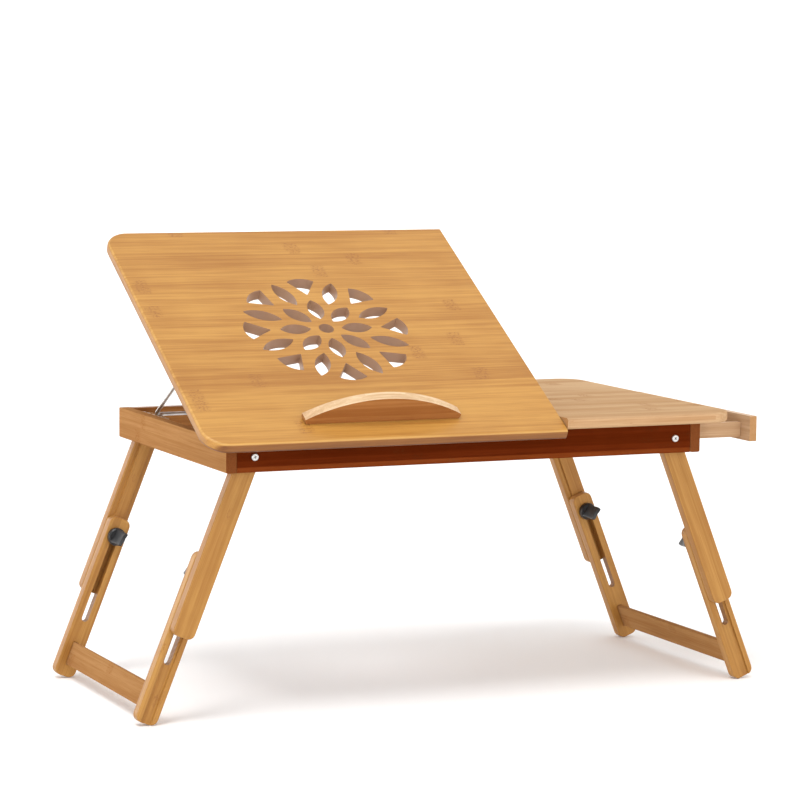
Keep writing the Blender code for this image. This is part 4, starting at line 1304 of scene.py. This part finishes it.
@dataclass
class Screw:
    """A cross-recessed screw's head, with its crown up Z and its seat at the origin."""

    radius: float
    height: float
    form: Head
    recess_reach: float = 0.62
    recess_depth: float = 0.7
    recess_top: float = 1.6
    arm_share: float = 0.17
    taper: tuple[float, float, float] = (0.45, 0.6, 1.0)
    rim_steps: int = 5
    sides: int = 40

    def build(self, name: str) -> bpy.types.Object:
        """Models the head.

        Args:
            name: Its name.

        Returns:
            The head.
        """
        head = add_cylinder(name, self.radius, self.height, self.sides, Vector((0.0, 0.0, 0.0)))

        def upper_rim(edge: bpy.types.MeshEdge) -> bool:
            a, b = edge_ends(head, edge)
            return min(a.z, b.z) > self.height - NEAR

        offset = self.height * self.form.value
        with editing(head, Elements.EDGES, upper_rim):
            bpy.ops.mesh.bevel(offset=offset, segments=self.rim_steps, affect="EDGES")
        return combine(head, self.cross(), "DIFFERENCE")

    def cross(self) -> bpy.types.Object:
        """The driver's tapered cross, as a cutting tool."""
        reach = self.radius * self.recess_reach
        arm = reach * self.arm_share
        bottom = self.height * (1.0 - self.recess_depth)
        top = self.height * self.recess_top
        arms = []
        for turn in (0.0, math.pi / 2):
            bar = add_block("cross_arm", Vector((-reach, -arm, bottom)), Vector((reach, arm, top)))

            def lower(vertex: bpy.types.MeshVertex) -> bool:
                return vertex.co.z < bottom + NEAR

            with editing(bar, Elements.VERTICES, lower):
                bpy.ops.transform.resize(
                    value=self.taper, center_override=(0.0, 0.0, 0.0), orient_type="GLOBAL"
                )
            arms.append(moved(bar, Matrix.Rotation(turn, 4, "Z")))
        return combine(arms[0], arms[1], "UNION")


@dataclass
class LeafScrews:
    """Countersunk screws let into the hinges' leaves."""

    dresser: Dresser
    hinge: Vector
    material: bpy.types.Material
    number: int = 3
    radius: float = 2.3 * MM
    height: float = 0.9 * MM
    sunk: float = 0.1 * MM
    ease: float = 0.15 * MM
    barrel_reach: float = 4.0 * MM
    roll: float = 0.7
    sides: int = 32

    def let_in(self, leaf: bpy.types.Object, name: str, turn: Matrix, out: float, body: str) -> None:
        """Cuts a leaf's screw holes and seats a screw in each.

        Args:
            leaf: The leaf.
            name: The screws' name.
            turn: The move from the closed hinge to the leaf's place.
            out: 1 where the leaf's open face looks up with the hinge closed, else -1.
            body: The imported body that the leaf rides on.
        """
        back = turn.inverted()
        points = [back @ vertex.co for vertex in leaf.data.vertices]
        plate = [point for point in points if point.y > self.hinge.y + self.barrel_reach]
        low, high = (Vector([pick(p[axis] for p in plate) for axis in range(3)]) for pick in (min, max))
        face = high.z if out > 0.0 else low.z
        heads = []
        for index in range(self.number):
            along = low.x + (high.x - low.x) * (index + 0.5) / self.number
            seat = Vector((along, (low.y + high.y) / 2, face))
            place = turn @ Matrix.Translation(seat) @ facing(Vector((0.0, 0.0, out)), self.roll * index)
            deep = 2 * (high.z - low.z)
            bottom = Vector((0.0, 0.0, -deep))
            hole = add_cylinder("screw_hole", self.radius + self.ease, 2 * deep, self.sides, bottom)
            combine(leaf, moved(hole, place), "DIFFERENCE")
            head = Screw(self.radius, self.height, Head.COUNTERSUNK).build("leaf_screw")
            sink = Matrix.Translation(Vector((0.0, 0.0, -self.height - self.sunk)))
            heads.append(moved(head, place @ sink))
        smooth(leaf)
        screws = smooth(joined(heads, name))
        self.dresser.dress(screws, self.material, Slot.STEEL, body)


def facing(direction: Vector, roll: float = 0.0) -> Matrix:
    """The turn that points a screw's crown in a direction.

    Args:
        direction: Where the crown points.
        roll: How far its cross is turned.

    Returns:
        The turn.
    """
    aim = direction.to_track_quat("Z", "Y").to_matrix().to_4x4()
    return aim @ Matrix.Rotation(roll, 4, "Z")


@dataclass
class TiltingTop:
    """The vented top with its ledge, hinge leaves and wire clips."""

    dresser: Dresser
    hinge: Vector
    thickness: float = 11.0 * MM
    vent_along: float = 0.489
    vent_across: float = 0.507
    vent_radius: float = 88.0 * MM
    material: bpy.types.Material = field(init=False)
    hinge_turn: Matrix = field(init=False)
    closed_low: Vector = field(init=False)
    closed_high: Vector = field(init=False)

    def __post_init__(self) -> None:
        """Works the closed board's place out from its packed box."""
        self.hinge_turn = (
            Matrix.Translation(self.hinge) @ Matrix.Rotation(TILT, 4, "X") @ Matrix.Translation(-self.hinge)
        )
        packed = self.dresser.frame["nodes"]["tilt_top"].data.vertices
        back = self.hinge_turn.inverted()
        points = [back @ vertex.co for vertex in packed]
        self.closed_low = Vector([min(point[axis] for point in points) for axis in range(3)])
        self.closed_high = Vector([max(point[axis] for point in points) for axis in range(3)])
        origin = self.hinge_turn @ Vector((self.closed_low.x, self.closed_low.y, self.closed_high.z))
        size = self.closed_high - self.closed_low
        centre = Vector((self.vent_along * size.x, self.vent_across * size.y, 0.0))
        self.material = TILT_TOP.material(Lay(origin, TILTED), (centre, self.vent_radius))

    def build(self) -> None:
        """Builds the board and dresses what it carries."""
        self.build_board()
        self.build_ledge()
        brass = BRASS.material()
        steel = STEEL.material()
        for side in SIDES:
            leaf = self.dresser.refined(
                "hinge_top_leaf_" + side, "top_hinge_leaf_" + side, brass, Slot.BRASS, LEAF_EASE
            )
            screws = LeafScrews(self.dresser, self.hinge, steel)
            screws.let_in(leaf, "top_leaf_screws_" + side, self.hinge_turn, -1.0, "tilting_top")
            self.dresser.refined("prop_clip_" + side, "wire_clip_" + side, steel, Slot.STEEL, ROD_EASE)

    def build_board(self) -> None:
        """Models the board closed, cuts its vent and hinge pockets, and tilts it."""
        size = self.closed_high - self.closed_low
        board = TopBoard(self.closed_low, self.closed_high, "left").build("tilting_board")
        centre = self.closed_low + Vector((self.vent_along * size.x, self.vent_across * size.y, size.z / 2))
        combine(board, FlowerVent(centre, size.z * 3.0).tools(), "DIFFERENCE")
        for side in SIDES:
            combine(board, self.hinge_pocket(side), "DIFFERENCE")
        ease_edges(board, BOARD_EASE)
        smooth(board)
        moved(board, self.hinge_turn)
        self.dresser.dress(board, self.material, Slot.TOP, "tilting_top", ("tilt_top",))

    def hinge_pocket(self, side: str) -> bpy.types.Object:
        """The room for one hinge's top leaf and barrel, as a tool.

        Args:
            side: The hinge, left or right.

        Returns:
            The tool, in the closed board's place.
        """
        back = self.hinge_turn.inverted()
        points = [back @ v.co for v in self.dresser.frame["nodes"]["hinge_top_leaf_" + side].data.vertices]
        pin_low, pin_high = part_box("hinge_pin_" + side)
        left, right = pin_low.x - GAP, pin_high.x + GAP
        low_z = self.closed_low.z - self.thickness
        barrel_top = max(point.z for point in points)
        leaf_back = max(point.y for point in points) + GAP
        barrel_front = min(point.y for point in points) - GAP
        barrel = 2 * (self.hinge.y - barrel_front)
        leaf_top = max(point.z for point in points if point.y > self.hinge.y + barrel) + GAP
        leaf = add_block(
            "leaf_pocket", Vector((left, barrel_front, low_z)), Vector((right, leaf_back, leaf_top))
        )
        room = add_block(
            "barrel_pocket",
            Vector((left, barrel_front, low_z)),
            Vector((right, barrel_front + barrel, barrel_top + GAP)),
        )
        return combine(leaf, room, "UNION")

    def build_ledge(self) -> None:
        """Dresses the arched ledge with grain along its length."""
        low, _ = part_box("stopper_ledge")
        material = LEDGE.material(Lay(low, TILTED_ON_EDGE))
        self.dresser.refined("stopper_ledge", "arched_ledge", material, Slot.LEDGE, 0.0)


@dataclass
class StandFrame:
    """The tray frame: rails, divider, fixed side top, runners, racks, hinges and pivot bolts."""

    dresser: Dresser
    tray: Vector
    hinge: Vector
    inner_shift: float = 4.0 * MM
    bolt_head_height: float = 1.6 * MM
    bolt_radius: float = 2.0 * MM
    bolt_sides: int = 32
    bolt_rolls: tuple[float, float] = (18.0, 50.0)
    nut_ease: float = 0.25 * MM

    def build(self) -> None:
        """Builds and dresses the whole frame."""
        self.build_rails()
        self.build_side_top()
        self.build_hardware()

    def build_rails(self) -> None:
        """Rails, divider, runners and racks."""
        rail = RAIL.material(Lay(self.tray, ALONG_X))
        end_rail = END_RAIL.material(Lay(self.tray, ON_EDGE_ALONG_Y))
        inner = DRAWER.material(Lay(self.tray + Vector((0.0, self.inner_shift, 0.0)), ALONG_X))
        back_rail = BACK_RAIL.material(Lay(self.tray, ALONG_X))
        for row, finish in zip(ROWS, (rail, back_rail)):
            self.dresser.refined(row + "_rail", row + "_long_rail", finish, Slot.RAIL, BOARD_EASE)
            self.dresser.refined("drawer_runner_" + row, row + "_runner", inner, Slot.RAIL, BOARD_EASE)
        for side in SIDES:
            name = side + "_end_rail"
            self.dresser.refined(name, side + "_short_rail", end_rail, Slot.END_RAIL, BOARD_EASE)
            rack = "prop_rack_" + side
            self.dresser.refined(rack, side + "_notched_rack", inner, Slot.DRAWER, BOARD_EASE)
        self.dresser.refined("divider", "split_divider", end_rail, Slot.RAIL, BOARD_EASE)

    def build_side_top(self) -> None:
        """The fixed board over the drawer."""
        low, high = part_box("fixed_top")
        board = TopBoard(low, high, "right").build("fixed_side_board")
        ease_edges(board, BOARD_EASE)
        smooth(board)
        material = FIXED_TOP.material(Lay(Vector((low.x, low.y, high.z)), ALONG_X))
        self.dresser.dress(board, material, Slot.FIXED_TOP, "frame", ("fixed_top",))

    def build_hardware(self) -> None:
        """Hinge leaves, hinge pins and pivot bolts."""
        brass = BRASS.material()
        steel = STEEL.material()
        for side in SIDES:
            leaf = self.dresser.refined(
                "hinge_frame_leaf_" + side, "frame_hinge_leaf_" + side, brass, Slot.BRASS, LEAF_EASE
            )
            screws = LeafScrews(self.dresser, self.hinge, steel)
            screws.let_in(leaf, "frame_leaf_screws_" + side, Matrix(), 1.0, "frame")
            self.dresser.refined("hinge_pin_" + side, "knuckle_pin_" + side, steel, Slot.STEEL, ROD_EASE)
            for row in ROWS:
                self.build_bolt(side, row, steel)

    def build_bolt(self, side: str, row: str, steel: bpy.types.Material) -> None:
        """One leg's pivot bolt with a cross-recessed head, and its nut.

        Args:
            side: The leg pair, left or right.
            row: Front or back.
            steel: The bolt's material.
        """
        node = f"leg_pivot_bolt_{side}_{row}"
        low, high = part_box(node)
        out = -1.0 if row == "front" else 1.0
        radius = (high.x - low.x) / 2
        head_height = self.bolt_head_height
        outer = low.y if row == "front" else high.y
        middle = Vector(((low.x + high.x) / 2, outer - out * head_height, (low.z + high.z) / 2))
        head = Screw(radius, head_height, Head.PAN).build("bolt_head")
        roll = math.radians(self.bolt_rolls[SIDES.index(side)])
        moved(head, Matrix.Translation(middle) @ facing(Vector((0.0, out, 0.0)), roll))
        length = (high.y - low.y) - head_height
        shank = add_cylinder("bolt_shank", self.bolt_radius, length + GAP, self.bolt_sides, Vector())
        foot = Matrix.Translation(middle + Vector((0.0, out * GAP, 0.0)))
        moved(shank, foot @ facing(Vector((0.0, -out, 0.0))))
        bolt = combine(head, shank, "UNION")
        renamed(bolt, f"pivot_bolt_{side}_{row}")
        smooth(bolt)
        crown = middle + Vector((0.0, out * head_height, 0.0))
        # Steel with painted shade in the head's cross recess
        headed = STEEL.material((crown, out, radius * Screw.recess_reach))
        self.dresser.dress(bolt, headed, Slot.STEEL, "frame", (node,))
        self.dresser.refined(
            f"leg_pivot_nut_{side}_{row}", f"pivot_nut_{side}_{row}", steel, Slot.STEEL, self.nut_ease
        )


@dataclass
class Drawer:
    """The shallow drawer at the right end."""

    dresser: Dresser
    tray: Vector

    def build(self) -> None:
        """Dresses the drawer's five boards, with each board's own grain."""
        along = DRAWER.material(Lay(self.tray, ON_EDGE))
        across = DRAWER.material(Lay(self.tray, ON_EDGE_ALONG_Y))
        base = DRAWER.material(Lay(self.tray, ALONG_Y))
        boards = [("front", "face", across), ("back", "rear", across), ("bottom", "base", base)]
        boards += [("side_" + row, "flank_" + row, along) for row in ROWS]
        for node, name, material in boards:
            ease = ROD_EASE if node == "bottom" else STICK_EASE
            self.dresser.refined("drawer_" + node, "drawer_" + name, material, Slot.DRAWER, ease)


@dataclass
class LegPair:
    """A pair of telescopic legs with their crossbar, inserts, studs and knobs."""

    dresser: Dresser
    side: str
    tray: Vector
    lower_shift: tuple[float, float, float] = (0.03, 0.02, 0.05)

    def build(self) -> None:
        """Dresses both legs and what they carry."""
        brass = BRASS.material()
        steel = STEEL.material()
        plastic = PLASTIC.material()
        for row in ROWS:
            name = f"{self.side}_{row}"
            low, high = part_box("upper_leg_" + name)
            pivot = Vector((high.x if self.side == "left" else low.x, low.y, high.z))
            turn = DOWN_LEG[self.side]
            upper = LEG.material(Lay(pivot, turn))
            lower = LEG.material(Lay(pivot + Vector(self.lower_shift), turn))
            for node, piece, material, slot, ease in (
                ("upper_leg_", "upper_stile_", upper, Slot.LEG, STICK_EASE),
                ("lower_leg_", "lower_stile_", lower, Slot.LEG, STICK_EASE),
                ("insert_nut_", "threaded_insert_", brass, Slot.BRASS, LEAF_EASE),
                ("knob_stud_", "clamping_stud_", steel, Slot.STEEL, ROD_EASE),
            ):
                self.dresser.refined(node + name, piece + name, material, slot, ease)
            knob = "knob_" + name
            self.dresser.refined(knob, "locking_" + knob, plastic, Slot.PLASTIC, BOARD_EASE, 3)
        bar = CROSSBAR.material(Lay(self.tray, ON_EDGE_ALONG_Y))
        self.dresser.refined("crossbar_" + self.side, "foot_rail_" + self.side, bar, Slot.LEG, STICK_EASE)


@dataclass
class Prop:
    """The wire bail that holds the tilting top up."""

    dresser: Dresser

    def build(self) -> None:
        """Dresses the wire."""
        self.dresser.refined("prop_bail", "wire_bail", STEEL.material(), Slot.STEEL, 0.0)


@dataclass
class Studio:
    """A white floor and backdrop, soft light and the photograph's camera."""

    tray: Vector
    focal_pixels: float = 3137.76
    frame_pixels: float = 800.0
    sensor: float = 36.0
    camera_from_tray: tuple[float, float, float] = (-1.00817, -2.67118, 0.37352)
    yaw: float = -0.4165
    pitch: float = -0.1062
    roll: float = 0.0095
    floor_half: float = 14.0
    floor_drop: float = 0.4 * MM
    floor_colours: tuple[Colour, Colour] = ((0.985, 0.982, 0.98), (0.97, 0.967, 0.965))
    floor_clouds: float = 3.0
    sun_from: tuple[float, float, float] = (-0.30, -0.32, 1.0)
    sun_spread: float = math.radians(24.0)
    sun_strength: float = 1.25
    surround: float = 0.86
    wall_sides: int = 48
    wall_height: float = 5.0
    wall_sunk: float = 0.5

    def build(self) -> None:
        """Adds camera, floor, backdrop, light and world."""
        self.build_camera()
        self.build_floor()
        self.build_backdrop()
        self.build_lights()
        bpy.context.scene.view_settings.view_transform = "Standard"

    def build_camera(self) -> None:
        """The camera that was solved from the photograph."""
        ahead = Vector((-math.sin(self.yaw), math.cos(self.yaw), 0.0))
        right = Vector((math.cos(self.yaw), math.sin(self.yaw), 0.0))
        up = Vector((0.0, 0.0, 1.0))
        look = ahead * math.cos(self.pitch) + up * math.sin(self.pitch)
        rise = up * math.cos(self.pitch) - ahead * math.sin(self.pitch)
        x_axis = right * math.cos(self.roll) + rise * math.sin(self.roll)
        y_axis = rise * math.cos(self.roll) - right * math.sin(self.roll)
        data = bpy.data.cameras.new("photo_camera")
        data.sensor_width = self.sensor
        data.lens = self.focal_pixels / self.frame_pixels * self.sensor
        camera = bpy.data.objects.new("photo_camera", data)
        bpy.context.scene.collection.objects.link(camera)
        turn = Matrix((x_axis, y_axis, -look)).transposed().to_4x4()
        camera.matrix_world = Matrix.Translation(self.tray + Vector(self.camera_from_tray)) @ turn
        bpy.context.scene.camera = camera

    def build_floor(self) -> None:
        """A plain white floor."""
        select_nothing()
        bpy.ops.mesh.primitive_plane_add(size=2 * self.floor_half, location=(0.0, 0.0, -self.floor_drop))
        floor = named("studio_floor")
        graph = Graph("studio_white")
        place = graph.node("TexCoord")["Object"]
        cloud = graph.noise(place, self.floor_clouds)
        floor.data.materials.append(graph.surface(
            Base_Color=graph.blend(cloud * 0.3, *self.floor_colours),
            Roughness=0.85,
            Specular_IOR_Level=0.1,
        ))

    def build_lights(self) -> None:
        """A broad soft sun from the left and a pale even surround."""
        data = bpy.data.lights.new("soft_sun", "SUN")
        data.energy = self.sun_strength
        data.angle = self.sun_spread
        light = bpy.data.objects.new("soft_sun", data)
        bpy.context.scene.collection.objects.link(light)
        light.matrix_world = Vector(self.sun_from).to_track_quat("Z", "Y").to_matrix().to_4x4()
        world = bpy.data.worlds.new("pale_surround")
        world.use_nodes = True
        back = world.node_tree.nodes["Background"]
        back.inputs["Color"].default_value = (1.0, 1.0, 1.0, 1.0)
        back.inputs["Strength"].default_value = self.surround
        bpy.context.scene.world = world

    def build_backdrop(self) -> None:
        """A glowing white wall far off all round the stand."""
        select_nothing()
        bpy.ops.mesh.primitive_cylinder_add(
            vertices=self.wall_sides,
            radius=self.floor_half,
            depth=self.wall_height,
            end_fill_type="NOTHING",
            location=(0.0, 0.0, self.wall_height / 2 - self.wall_sunk),
        )
        wall = named("studio_backdrop")
        graph = Graph("backdrop_white")
        wall.data.materials.append(graph.surface(
            Base_Color=(0.9, 0.9, 0.9), Emission_Color=(1.0, 1.0, 1.0), Emission_Strength=1.0
        ))


def main() -> None:
    """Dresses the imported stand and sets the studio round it."""
    logging.basicConfig(level=logging.INFO, format="%(message)s")
    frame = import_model()
    select_nothing()
    dresser = Dresser(frame)
    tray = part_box("left_end_rail")[0]
    pin_low, pin_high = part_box("hinge_pin_left")
    hinge = (pin_low + pin_high) / 2
    StandFrame(dresser, tray, hinge).build()
    TiltingTop(dresser, hinge).build()
    Prop(dresser).build()
    Drawer(dresser, tray).build()
    for side in SIDES:
        LegPair(dresser, side, tray).build()
    Studio(tray).build()


if __name__ == "__main__":
    main()
